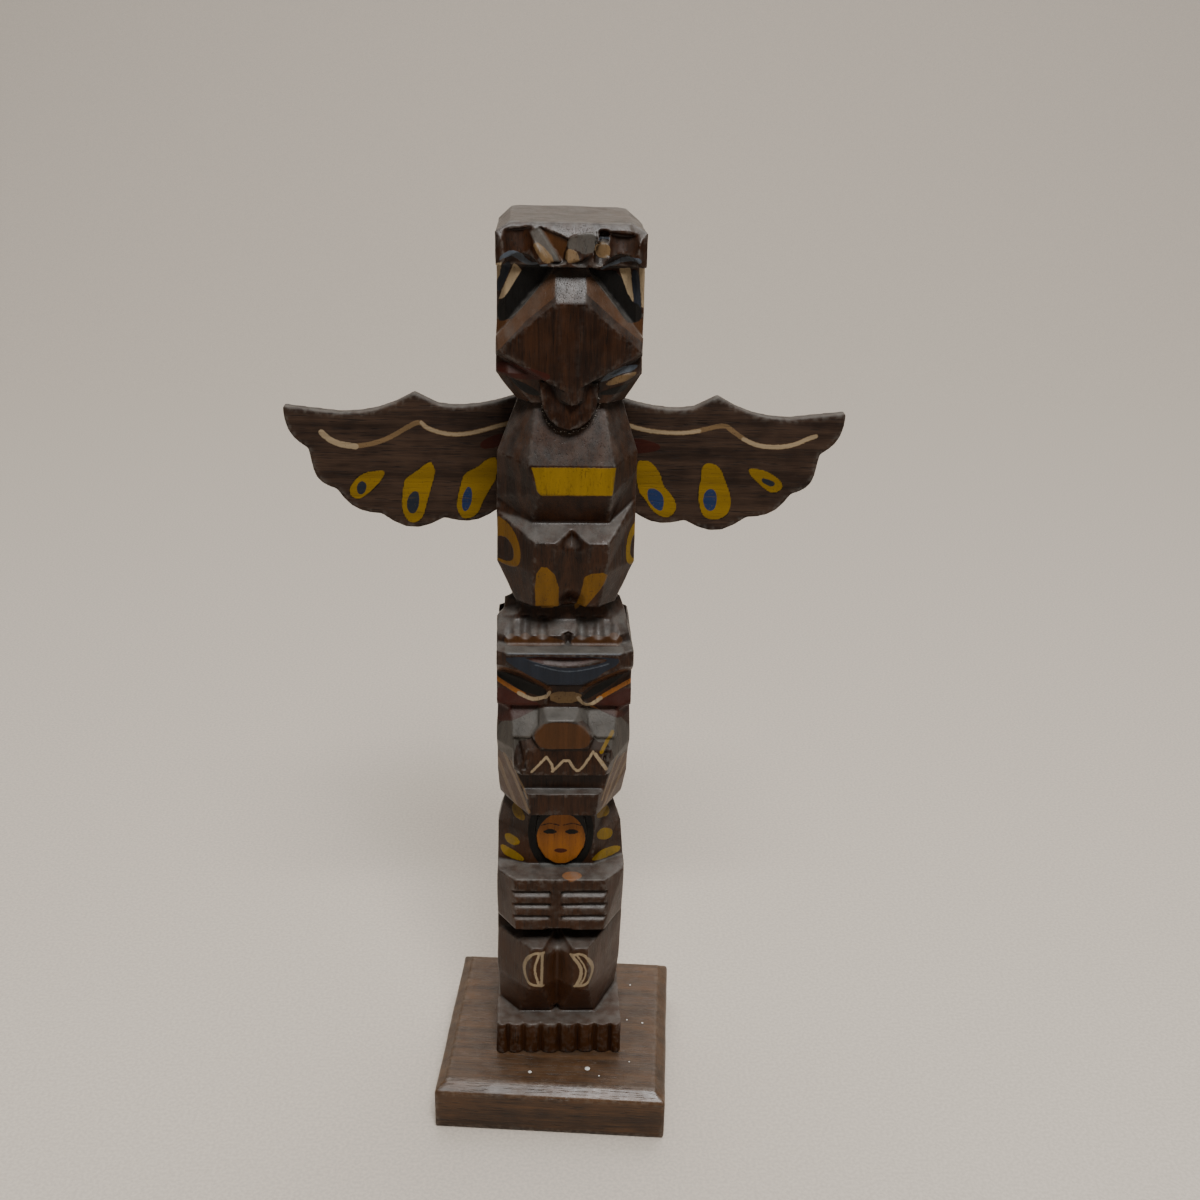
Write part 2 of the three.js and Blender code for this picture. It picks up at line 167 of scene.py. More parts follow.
class Skin:
    """A mesh's vertices as numbers, for carving marks, wear and paint."""

    def __init__(self, piece: bpy.types.Object, origin: np.ndarray) -> None:
        """Reads a piece's vertices.

        Args:
            piece: the object whose mesh is worked on.
            origin: the frame that points are given in, in metres.
        """
        self.mesh = piece.data
        self.origin = origin
        count = len(self.mesh.vertices)
        flat = np.empty(count * 3)
        self.mesh.vertices.foreach_get("co", flat)
        self.points = (flat.reshape(-1, 3) - origin) / MM
        pairs = np.empty(len(self.mesh.edges) * 2, np.int64)
        self.mesh.edges.foreach_get("vertices", pairs)
        self.edges = pairs.reshape(-1, 2)

    def normals(self) -> np.ndarray:
        """The vertex normals of the mesh as it was last written.

        Returns:
            One row for each vertex.
        """
        flat = np.empty(len(self.points) * 3)
        self.mesh.vertex_normals.foreach_get("vector", flat)
        return flat.reshape(-1, 3)

    def relaxed(self, values: np.ndarray, rounds: int, share: float = 0.6) -> np.ndarray:
        """Averages values with their neighbours'.

        Args:
            values: one row for each vertex.
            rounds: how often.
            share: how far each round goes towards the neighbours' mean.

        Returns:
            The smoothed values.
        """
        first, second = self.edges.T
        count = np.bincount(self.edges.ravel(), minlength=len(values)).clip(1)[:, None]
        out = values if values.ndim == 2 else values[:, None]
        for _ in range(rounds):
            total = np.zeros_like(out)
            for column in range(out.shape[1]):
                total[:, column] = np.bincount(first, out[second, column], len(out))
                total[:, column] += np.bincount(second, out[first, column], len(out))
            out = out + share * (total / count - out)
        return out if values.ndim == 2 else out[:, 0]

    def write(self) -> None:
        """Puts the points back into the mesh."""
        self.mesh.vertices.foreach_set("co", (self.points * MM + self.origin).ravel())
        self.mesh.update()

    def store(self, name: str, values: np.ndarray) -> None:
        """Keeps one number for each vertex as an attribute."""
        layer = self.mesh.attributes.new(name, "FLOAT", "POINT")
        layer.data.foreach_set("value", values.astype(np.float32))


class Ripple:
    """Smooth random relief from a fixed seed."""

    def __init__(self, seed: int, cell: Sequence[float]) -> None:
        """Sets up the relief.

        Args:
            seed: fixes the pattern.
            cell: the size of one ripple along X, Y and Z, in millimetres.
        """
        self.cell = np.array(cell, float)
        self.size = 64
        self.lattice = np.random.default_rng(seed).uniform(-1, 1, (self.size,) * 3)

    def __call__(self, points: np.ndarray) -> np.ndarray:
        """The relief at some points, from -1 to 1.

        Args:
            points: one row for each point, in millimetres.

        Returns:
            One number for each point.
        """
        place = points / self.cell + 1000
        base = np.floor(place).astype(int)
        part = place - base
        part = part * part * (3 - 2 * part)
        total = np.zeros(len(points))
        for corner in range(8):
            step = np.array([corner & 1, corner >> 1 & 1, corner >> 2 & 1])
            weight = np.where(step, part, 1 - part).prod(1)
            index = (base + step) % self.size
            total += weight * self.lattice[index[:, 0], index[:, 1], index[:, 2]]
        return total


# ---------------------------------------------------------------- painted outlines


def rounded(points: np.ndarray, rounds: int, closed: bool) -> np.ndarray:
    """Rounds a line's corners by cutting them.

    Args:
        points: the line's corners.
        rounds: how often each corner is cut.
        closed: whether the last point joins the first.

    Returns:
        The rounded line.
    """
    for _ in range(rounds):
        after = np.roll(points, -1, 0)
        near, far = 0.75 * points + 0.25 * after, 0.25 * points + 0.75 * after
        cut = np.stack([near, far], 1).reshape(-1, 2)
        points = cut if closed else np.vstack([points[:1], cut[:-2], points[-1:]])
    return points


def distance_to_line(at: np.ndarray, line: np.ndarray, closed: bool) -> np.ndarray:
    """How far points are from a line of straight pieces.

    Args:
        at: the points.
        line: the line's corners.
        closed: whether the last corner joins the first.

    Returns:
        One distance for each point.
    """
    nearest = np.full(len(at), np.inf)
    ends = np.roll(line, -1, 0) if closed else line[1:]
    for start, end in zip(line, ends):
        along = end - start
        share = ((at - start) @ along / max(along @ along, 1e-12)).clip(0, 1)
        nearest = np.minimum(nearest, np.linalg.norm(at - start - share[:, None] * along, axis=1))
    return nearest


def inside(at: np.ndarray, outline: np.ndarray) -> np.ndarray:
    """Whether points lie inside a closed outline.

    Args:
        at: the points.
        outline: the outline's corners.

    Returns:
        One truth value for each point.
    """
    found = np.zeros(len(at), bool)
    for (x0, y0), (x1, y1) in zip(outline, np.roll(outline, -1, 0)):
        if y0 != y1:
            crosses = (y0 > at[:, 1]) != (y1 > at[:, 1])
            found ^= crosses & (at[:, 0] < (x1 - x0) * (at[:, 1] - y0) / (y1 - y0) + x0)
    return found


@dataclass(frozen=True)
class Mark:
    """One painted mark: a filled outline, or a brush stroke where it has a width."""

    paint: Paint
    points: tuple[Point2, ...]
    width: float = 0.0
    depth: Point2 = (-12.0, 12.0)  # from front to back: left alone, it reaches through the whole stick
    view: View = View.FRONT
    corners: int = 2
    hollow: tuple[Point2, ...] = ()

    def distance(self, points: np.ndarray) -> np.ndarray:
        """The distance from the mark's edge at some points, negative inside it.

        Args:
            points: one row for each point, in the pole's frame.

        Returns:
            One distance for each point, never past FAR.
        """
        out = np.full(len(points), FAR)
        at = points[:, self.view.value]
        line = rounded(np.array(self.points, float), self.corners, not self.width)
        reach = FAR + self.width
        near = ((at > line.min(0) - reach) & (at < line.max(0) + reach)).all(1)
        level = points[:, self.view.inward()]
        near &= (level > self.depth[0] - FAR) & (level < self.depth[1] + FAR)
        if not near.any():
            return out
        at, level = at[near], level[near]
        found = distance_to_line(at, line, not self.width) - self.width / 2
        if not self.width:
            found = np.where(inside(at, line), -found, found)
        if self.hollow:
            core = rounded(np.array(self.hollow, float), self.corners, True)
            gap = distance_to_line(at, core, True)
            found = np.maximum(found, np.where(inside(at, core), gap, -gap))
        found = np.maximum(found, np.maximum(self.depth[0] - level, level - self.depth[1]))
        out[near] = found.clip(-FAR, FAR)
        return out


@dataclass(frozen=True)
class Facet:
    """A small flat cut or swell on the front: inside its outline the skin moves towards a plane."""

    outline: tuple[Point2, ...]
    depth: float  # the plane's depth at the outline's first point
    across: float = 0.0  # how much it goes back for each millimetre to the right
    up: float = 0.0  # how much it goes back for each millimetre up
    share: float = 1.0
    soft: float = 0.25
    limit: float = -HALF_STOCK  # the plane never stands in front of this depth

    def cut(self, points: np.ndarray, front: np.ndarray) -> None:
        """Moves the points inside the outline.

        Args:
            points: every vertex, in the pole's frame.
            front: which of them face the front.
        """
        at = points[:, [0, 2]]
        line = np.array(self.outline, float)
        near = np.flatnonzero(front & ((at > line.min(0)) & (at < line.max(0))).all(1))
        if not len(near):
            return
        at = at[near]
        reach = np.where(inside(at, line), distance_to_line(at, line, True), 0.0)
        step = (reach / self.soft).clip(0, 1)
        share = self.share * step * step * (3 - 2 * step)
        plane = (self.depth + (at - line[0]) @ np.array([self.across, self.up])).clip(self.limit)
        points[near, 1] += share * (plane - points[near, 1])


def paint_on(skin: Skin, marks: Iterable[Mark]) -> None:
    """Keeps each paint's distance on the skin, at its nearest mark.

    Args:
        skin: the vertices.
        marks: every painted mark.
    """
    layers = {paint: np.full(len(skin.points), FAR) for paint in Paint}
    for mark in marks:
        layers[mark.paint] = np.minimum(layers[mark.paint], mark.distance(skin.points))
    for paint, values in layers.items():
        skin.store(paint.value, values)


def oval(x: float, z: float, wide: float, high: float, lean: float = 0.0) -> tuple[Point2, ...]:
    """An oval's outline.

    Args:
        x: the middle, across.
        z: the middle, up.
        wide: half its width.
        high: half its height.
        lean: how far it leans to the right, in degrees.

    Returns:
        Points round it.
    """
    turn, steps = math.radians(lean), 20
    ring = []
    for step in range(steps):
        angle = 2 * math.pi * step / steps
        across, up = wide * math.cos(angle), high * math.sin(angle)
        ring.append((x + across * math.cos(turn) + up * math.sin(turn),
                     z - across * math.sin(turn) + up * math.cos(turn)))
    return tuple(ring)


# ---------------------------------------------------------------- shader graphs


class Graph:
    """Builds one material's nodes in short calls."""

    def __init__(self, name: str) -> None:
        """Starts a material with nothing but its output.

        Args:
            name: the material's name.
        """
        self.material = bpy.data.materials.new(name)
        self.material.use_nodes = True
        self.tree = self.material.node_tree
        self.tree.nodes.clear()
        self.output = self.tree.nodes.new("ShaderNodeOutputMaterial")

    def node(self, kind: str, settings: dict | None = None, **inputs: object) -> bpy.types.Node:
        """Adds a node.

        Args:
            kind: the node's type name without its ShaderNode prefix.
            settings: its own properties.
            **inputs: values or sockets for its inputs, with _ for a space.

        Returns:
            The node.
        """
        made = self.tree.nodes.new("ShaderNode" + kind)
        for key, value in (settings or {}).items():
            setattr(made, key, value)
        for key, value in inputs.items():
            self.feed(made.inputs[key.replace("_", " ")], value)
        return made

    def feed(self, socket: Socket, value: object) -> None:
        """Links a socket into an input, or sets its value.

        Args:
            socket: the input.
            value: a socket, a number or a colour.
        """
        if isinstance(value, bpy.types.NodeSocket):
            self.tree.links.new(value, socket)
        elif isinstance(value, tuple) and len(value) == 3 and socket.type == "RGBA":
            socket.default_value = (*value, 1.0)
        else:
            socket.default_value = value

    def math(self, operation: str, *values: object, clamp: bool = False) -> Socket:
        """Arithmetic on one to three numbers or sockets.

        Args:
            operation: what is done to them.
            *values: the numbers or sockets.
            clamp: whether the result stays between 0 and 1.

        Returns:
            The result.
        """
        made = self.node("Math", {"operation": operation, "use_clamp": clamp})
        for socket, value in zip(made.inputs, values):
            self.feed(socket, value)
        return made.outputs[0]

    def mix(self, share: object, first: object, second: object, blend: str = "MIX") -> Socket:
        """Mixes two colours.

        Args:
            share: how much of the second.
            first: a colour or socket.
            second: a colour or socket.
            blend: how they are mixed.

        Returns:
            The mixed colour.
        """
        made = self.node("Mix", {"data_type": "RGBA", "blend_type": blend})
        for socket, value in zip((made.inputs[0], made.inputs[6], made.inputs[7]), (share, first, second)):
            self.feed(socket, value)
        return made.outputs[2]

    def attribute(self, name: str) -> Socket:
        """Reads a number kept on the mesh."""
        return self.node("Attribute", {"attribute_name": name}).outputs["Fac"]

    def ramp(self, value: Socket, low: float, high: float, to: Point2 = (0.0, 1.0)) -> Socket:
        """Maps a range of values, smoothly, to another.

        Args:
            value: what is mapped.
            low: the value that gives the first of to.
            high: the value that gives the second of to.
            to: the two results.

        Returns:
            The mapped value.
        """
        made = self.node("MapRange", {"interpolation_type": "SMOOTHSTEP"}, Value=value)
        for key, number in (("From Min", low), ("From Max", high), ("To Min", to[0]), ("To Max", to[1])):
            made.inputs[key].default_value = number
        return made.outputs[0]

    def space(self, turn: float = 0.0, stretch: Sequence[float] = (1, 1, 1)) -> Socket:
        """Object coordinates in millimetres, turned about Z and stretched.

        Args:
            turn: the turn, in radians.
            stretch: the stretch along each axis.

        Returns:
            The coordinates.
        """
        where = self.node("TexCoord").outputs["Object"]
        turned = self.node("Mapping", Vector=where, Rotation=(0.0, 0.0, turn))
        scaled = self.node("Mapping", Vector=turned.outputs[0], Scale=tuple(v / MM for v in stretch))
        return scaled.outputs[0]

    def noise(self, where: Socket, size: float, detail: float = 3.0, rough: float = 0.55) -> Socket:
        """Cloudy noise, size millimetres across."""
        made = self.node("TexNoise", Vector=where, Scale=1.0 / size, Detail=detail, Roughness=rough)
        return made.outputs["Fac"]


@dataclass(frozen=True)
class Coat:
    """How one paint looks: its colour, how much it hides, and how much of it stays on a dry stroke."""

    colour: Colour
    cover: float = 1.0
    dry: float = 0.55


@dataclass(frozen=True)
class Stain:
    """Dark stained hardwood under thin varnish."""

    name: str
    dark: Colour
    light: Colour
    # haze: the pale grey of wear and dust, also used for the painted sheen and highlights
    haze: Colour
    along: tuple[float, float, float]  # the stretch of the grain on each axis: small along it
    turn: float = 0.0  # the grain's turn about Z, in radians
    rough: float = 0.4
    uneven: float = 0.22  # how much the roughness varies from place to place
    gloss: float = 0.16
    dust_and_sheen: float = 0.55  # how much dust and painted sheen pale the upward faces
    edge_wear_and_sheen: float = 0.32  # how pale edges go: wear, and a painted highlight along them
    hollow_shade: float = 0.65  # how dark the painted shade in hollows goes
    pore: float = 0.7  # how dark the pores are
    grain_depth: float = 0.05
    # A painted warm reflection on the lower wood: its colour, the height it fades out at, and its share at
    # the foot.
    warm_reflection: Colour = (0.060, 0.020, 0.004)
    warm_reflection_top: float = 0.0  # below this height a painted warm reflection tints the wood, more so towards the foot
    warm_reflection_share: float = 0.55
    line: Colour = (0.003, 0.0012, 0.0008)
    wobble: float = 0.22  # how unsteady a painted edge is
    edge_soft: float = 0.07
    coat_rough: float = 0.08
    coat_high: float = 0.6  # how far paint stands out, against the grain
    paints: dict[Paint, Coat] = field(default_factory=dict)

    def material(self) -> bpy.types.Material:
        """Builds the material.

        Returns:
            The finished material.
        """
        g = Graph(self.name)
        plain, fibre = g.space(self.turn), g.space(self.turn, self.along)
        broad = g.noise(fibre, 1.6, 4.0)
        fine = g.noise(fibre, 0.28, 3.0, 0.7)
        pores = g.ramp(g.noise(fibre, 0.17, 1.0), 0.60, 0.72)
        colour = self.wear_and_shade(g, plain, self.wood(g, plain, broad, fine, pores))
        colour, thick = self.painted(g, plain, broad, fine, colour)
        # Upward faces go pale grey in clouds: dust, and a painted sheen of the light from above.
        cloud = g.ramp(g.noise(plain, 2.2, 4.0), 0.25, 0.75, (0.35, 1.0))
        ledge = g.math("MULTIPLY", g.attribute("ledge"), cloud)
        colour = g.mix(g.math("MULTIPLY", ledge, self.dust_and_sheen), colour, self.haze)
        rough = g.math("MULTIPLY", g.noise(plain, 1.3, 3.0), self.uneven)
        rough = g.math("ADD", rough, self.rough - self.uneven / 2)
        rough = g.math("ADD", rough, g.math("MULTIPLY", thick, self.coat_rough), clamp=True)
        relief = g.math("ADD", g.math("MULTIPLY", fine, 0.5), g.math("MULTIPLY", pores, -0.5))
        relief = g.math("ADD", relief, g.math("MULTIPLY", thick, self.coat_high))
        bump = g.node("Bump", Height=relief, Strength=1.0, Distance=self.grain_depth * MM)
        shader = g.node("BsdfPrincipled", Base_Color=colour, Roughness=rough, Normal=bump.outputs[0],
                        Specular_IOR_Level=self.gloss)
        g.feed(g.output.inputs["Surface"], shader.outputs[0])
        return g.material

    def wood(self, g: Graph, plain: Socket, broad: Socket, fine: Socket, pores: Socket) -> Socket:
        """Colours the stained wood, with a painted warm reflection on its lower part where one is set.

        Args:
            g: the material's graph.
            plain: the coordinates.
            broad: the grain's broad bands.
            fine: its fine fibres.
            pores: its dark pores.

        Returns:
            The colour.
        """
        tone = g.math("ADD", g.math("MULTIPLY", broad, 0.6), g.math("MULTIPLY", fine, 0.4))
        cloud = g.math("SUBTRACT", g.noise(plain, 5.0, 2.0), 0.5)
        tone = g.math("ADD", tone, g.math("MULTIPLY", cloud, 0.3))
        colour = g.mix(g.ramp(tone, 0.33, 0.68), self.dark, self.light)
        # Painted warm reflection, growing towards the foot.
        if self.warm_reflection_top:
            height = g.node("SeparateXYZ", Vector=plain).outputs["Z"]
            colour = g.mix(g.ramp(height, self.warm_reflection_top, 0.0, (0.0, self.warm_reflection_share)), colour, self.warm_reflection)
        return g.mix(g.math("MULTIPLY", pores, self.pore), colour, self.line)

    def wear_and_shade(self, g: Graph, plain: Socket, colour: Socket) -> Socket:
        """Scuffs the edges, lightening them with a painted highlight too, and darkens the hollows with
        painted shade.

        Args:
            g: the material's graph.
            plain: the coordinates.
            colour: the bare wood.

        Returns:
            The colour with wear and painted light and shade.
        """
        # Edges go pale: wear, and a painted highlight along them.
        patchy = g.ramp(g.noise(plain, 0.9, 3.0), 0.42, 0.66)
        scuffed_and_lit = g.math("MULTIPLY", g.attribute("edge"), patchy, clamp=True)
        colour = g.mix(g.math("MULTIPLY", scuffed_and_lit, self.edge_wear_and_sheen), colour, self.haze)
        # Hollows go dark: painted shade.
        shaded_hollows = g.math("MULTIPLY", g.attribute("hollow"), self.hollow_shade, clamp=True)
        return g.mix(shaded_hollows, colour, self.line)

    def painted(self, g: Graph, plain: Socket, broad: Socket, fine: Socket,
                colour: Socket) -> tuple[Socket, object]:
        """Lays on the paints, one over the other.

        Args:
            g: the material's graph.
            plain: the coordinates.
            broad: the grain's broad bands.
            fine: its fine fibres.
            colour: the worn wood.

        Returns:
            The colour, and how thick the paint lies.
        """
        thick: object = 0.0
        wobble = g.math("MULTIPLY", g.math("SUBTRACT", g.noise(plain, 0.45, 3.0), 0.5), self.wobble)
        patchy = g.math("MULTIPLY", g.ramp(fine, 0.28, 0.44), g.ramp(g.noise(plain, 0.35, 2.0), 0.26, 0.4))
        for paint, coat in self.paints.items():
            edge_at = g.math("ADD", g.attribute(paint.value), wobble)
            cover = g.ramp(edge_at, self.edge_soft, -self.edge_soft)
            thin = tuple(0.72 * v for v in coat.colour)
            shade = g.mix(g.ramp(broad, 0.3, 0.7), thin, coat.colour)
            hides = g.ramp(patchy, 0.0, 1.0, (coat.cover * coat.dry, coat.cover))
            colour = g.mix(g.math("MULTIPLY", cover, hides), colour, shade)
            thick = g.math("MAXIMUM", thick, g.math("MULTIPLY", cover, coat.cover))
        return colour, thick


@dataclass(frozen=True)
class Plain:
    """A plain finish for small things and the floor."""

    name: str
    colour: Colour
    rough: float = 0.5

    def material(self) -> bpy.types.Material:
        """Builds the material, with a faint cloudy variation.

        Returns:
            The finished material.
        """
        g = Graph(self.name)
        cloud = g.noise(g.space(), 0.6, 2.0)
        colour = g.mix(g.ramp(cloud, 0.3, 0.7), tuple(0.85 * v for v in self.colour), self.colour)
        shader = g.node("BsdfPrincipled", Base_Color=colour, Roughness=self.rough)
        g.feed(g.output.inputs["Surface"], shader.outputs[0])
        return g.material


PAINTS: dict[Paint, Coat] = {
    Paint.RUST: Coat((0.075, 0.028, 0.007), 0.85, 0.7),
    Paint.HAZE: Coat((0.080, 0.073, 0.062), 0.75, 0.5),
    Paint.ORANGE: Coat((0.25, 0.085, 0.010)),
    Paint.TAN: Coat((0.17, 0.105, 0.048), 0.9, 0.4),
    Paint.RED: Coat((0.036, 0.005, 0.002), 0.95, 0.75),
    Paint.OCHRE: Coat((0.15, 0.068, 0.002)),
    Paint.YELLOW: Coat((0.20, 0.115, 0.001)),
    Paint.SLATE: Coat((0.013, 0.017, 0.026), 1.0, 0.8),
    Paint.MIST: Coat((0.070, 0.085, 0.105), 0.9),
    Paint.BLUE: Coat((0.012, 0.026, 0.080)),
    Paint.CREAM: Coat((0.30, 0.225, 0.135)),
    Paint.BLACK: Coat((0.003, 0.0025, 0.002), 1.0, 0.85),
}


# ---------------------------------------------------------------- the pieces


@dataclass
class Worked:
    """A wooden piece whose skin is remade, worn, given painted light and shade, and painted over its CAD
    solid.
    """

    node: str
    slot: str
    stain: Stain
    voxel: float = 0.28
    soften: int = 2
    waves: tuple[tuple[float, float], ...] = ((5.0, 0.10), (1.8, 0.04))
    marks: tuple[Mark, ...] = ()
    turned: float = 0.0  # how far the piece stands turned about Z

    def build(self) -> bpy.types.Object:
        """Makes the piece.

        Returns:
            The piece, riding on the body and standing for its CAD node.
        """
        piece = solid_copy(self.node, self.node + "_worked")
        self.reskin(piece)
        skin = Skin(piece, pole_origin())
        self.carve(skin)
        skin.points = skin.relaxed(skin.points, self.soften)
        skin.write()
        self.roughen(skin)
        skin.write()
        self.dress(piece)
        self.thin(piece)
        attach(piece, BODY)
        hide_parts(self.node)
        return piece

    def reskin(self, piece: bpy.types.Object) -> None:
        """Rebuilds the piece with small even faces, lined up with its own sides.

        Args:
            piece: the copied solid.
        """
        turn = Matrix.Rotation(self.turned, 4, "Z")
        piece.data.transform(turn.inverted())
        remesh(piece, self.voxel)
        piece.data.transform(turn)
        piece.data.update()

    def carve(self, skin: Skin) -> None:
        """Adds fine carving. A plain board has none."""

    def roughen(self, skin: Skin) -> None:
        """Moves the skin in and out a little, as a hand tool leaves it.

        Args:
            skin: the piece's vertices.
        """
        normals = skin.normals()
        standing = (skin.points[:, 2] / FOOT).clip(0, 1)
        for index, (cell, high) in enumerate(self.waves):
            ripple = Ripple(RIPPLE_SEED + index, (cell, cell, cell))
            skin.points += (high * standing * ripple(skin.points))[:, None] * normals

    def thin(self, piece: bpy.types.Object) -> None:
        """Reduces faces where they aren't needed. A small piece keeps them all."""

    def dress(self, piece: bpy.types.Object) -> None:
        """Keeps wear, painted light and shade, and paint on the mesh and gives it its material.

        Args:
            piece: the carved piece.
        """
        skin = Skin(piece, pole_origin())
        normals = skin.normals()
        wear_and_shade = ((skin.points - skin.relaxed(skin.points, 8)) * normals).sum(1)
        wear_and_shade = skin.relaxed(wear_and_shade, 1)
        # How far each point stands out or lies in: edges get wear and a painted highlight, hollows get
        # painted shade.
        skin.store("edge", (wear_and_shade / FULL_RELIEF).clip(0, 1))
        skin.store("hollow", (-wear_and_shade / FULL_RELIEF).clip(0, 1))
        # Upward faces: where dust and a painted sheen lie.
        skin.store("ledge", ((normals[:, 2] - 0.15) / 0.6).clip(0, 1))
        paint_on(skin, self.marks)
        piece.data.materials.clear()
        piece.data.materials.append(self.stain.material())


@dataclass
class Pole(Worked):
    """The carved stick."""

    most_triangles: int = 196_000
    detailed_to: float = -2.0  # the skin stays fine near paint in front of this depth
    facets: tuple[Facet, ...] = ()

    def carve(self, skin: Skin) -> None:
        """Makes the small cuts and swells of the front.

        Args:
            skin: the pole's vertices.
        """
        front = (skin.normals()[:, 1] < 0.1) & (skin.points[:, 1] < self.detailed_to)
        for facet in self.facets:
            facet.cut(skin.points, front)

    def thin(self, piece: bpy.types.Object) -> None:
        """Merges faces away from painted edges until the piece is under its limit.

        Args:
            piece: the dressed pole.
        """
        triangles = 2 * len(piece.data.polygons)
        if triangles <= self.most_triangles:
            return
        skin = Skin(piece, pole_origin())
        nearest = np.full(len(skin.points), FAR)
        values = np.empty(len(skin.points), np.float32)
        for paint in Paint:
            piece.data.attributes[paint.value].data.foreach_get("value", values)
            nearest = np.minimum(nearest, np.abs(values))
        plain = np.flatnonzero((nearest > 0.35) | (skin.points[:, 1] > self.detailed_to))
        group = piece.vertex_groups.new(name="plain")
        group.add(plain.tolist(), 1.0, "REPLACE")
        modifier = piece.modifiers.new("thin", "DECIMATE")
        modifier.ratio = self.most_triangles / triangles
        modifier.vertex_group = group.name
        bake_modifiers(piece)
        piece.vertex_groups.clear()


def pole_facets() -> tuple[Facet, ...]:
    """The small cuts and swells on the pole's front, from the crown down.

    Returns:
        The facets, in the order they are cut.
    """
    crown = [
        Facet(((-5.4, 153.9), (4.3, 153.9), (4.3, 150.8), (-5.4, 150.8)), -9.0, up=0.69, soft=0.3),
        Facet(((-4.7, 153.4), (0.0, 151.6), (-0.8, 149.9), (-1.2, 148.3), (-1.8, 148.3), (-4.6, 152.4)),
              -8.9, across=-0.25),
        Facet(((-6.2, 152.5), (-4.8, 153.5), (-4.2, 152.8), (-1.2, 148.3), (-2.9, 148.3), (-5.6, 151.2)),
              -9.6, up=0.25),
        Facet(((-0.7, 151.6), (0.2, 152.3), (2.9, 152.8), (3.9, 151.9), (3.5, 149.9), (1.6, 148.5),
               (-0.9, 148.3), (-0.8, 150.1)), -10.2, up=0.22),
        Facet(((3.3, 151.4), (5.6, 151.4), (5.6, 149.2), (3.6, 149.1)), -9.8, share=0.9),
    ]
    belly = [
        Facet(((-4.8, 106.4), (5.6, 106.4), (5.0, 94.6), (-4.2, 94.6)), -11.1, up=-0.14, share=0.62,
              soft=2.6),
    ]
    bear = [
        Facet(((-0.3, 88.8), (0.5, 89.2), (1.3, 88.8), (0.8, 87.0), (0.2, 87.0)), -6.6, share=0.6),
        Facet(((-8.6, 72.6), (-6.1, 72.6), (-6.1, 65.4), (-8.3, 65.4)), -9.3, up=0.3, share=0.65),
        Facet(((-8.7, 76.4), (-4.0, 76.4), (-4.0, 73.6), (-5.4, 71.3), (-8.7, 71.3)), -7.2, up=0.66,
              share=0.8),
        Facet(((8.7, 76.4), (4.0, 76.4), (3.8, 73.6), (5.2, 71.3), (8.7, 71.3)), -7.2, up=0.66, share=0.8),
    ]
    legs = [
        Facet(((-5.0, 31.5), (4.4, 31.5), (4.4, 15.0), (-5.0, 15.0)), -14.9, up=-0.47, share=0.62, soft=2.0),
    ]
    return tuple(crown + belly + bear + legs)


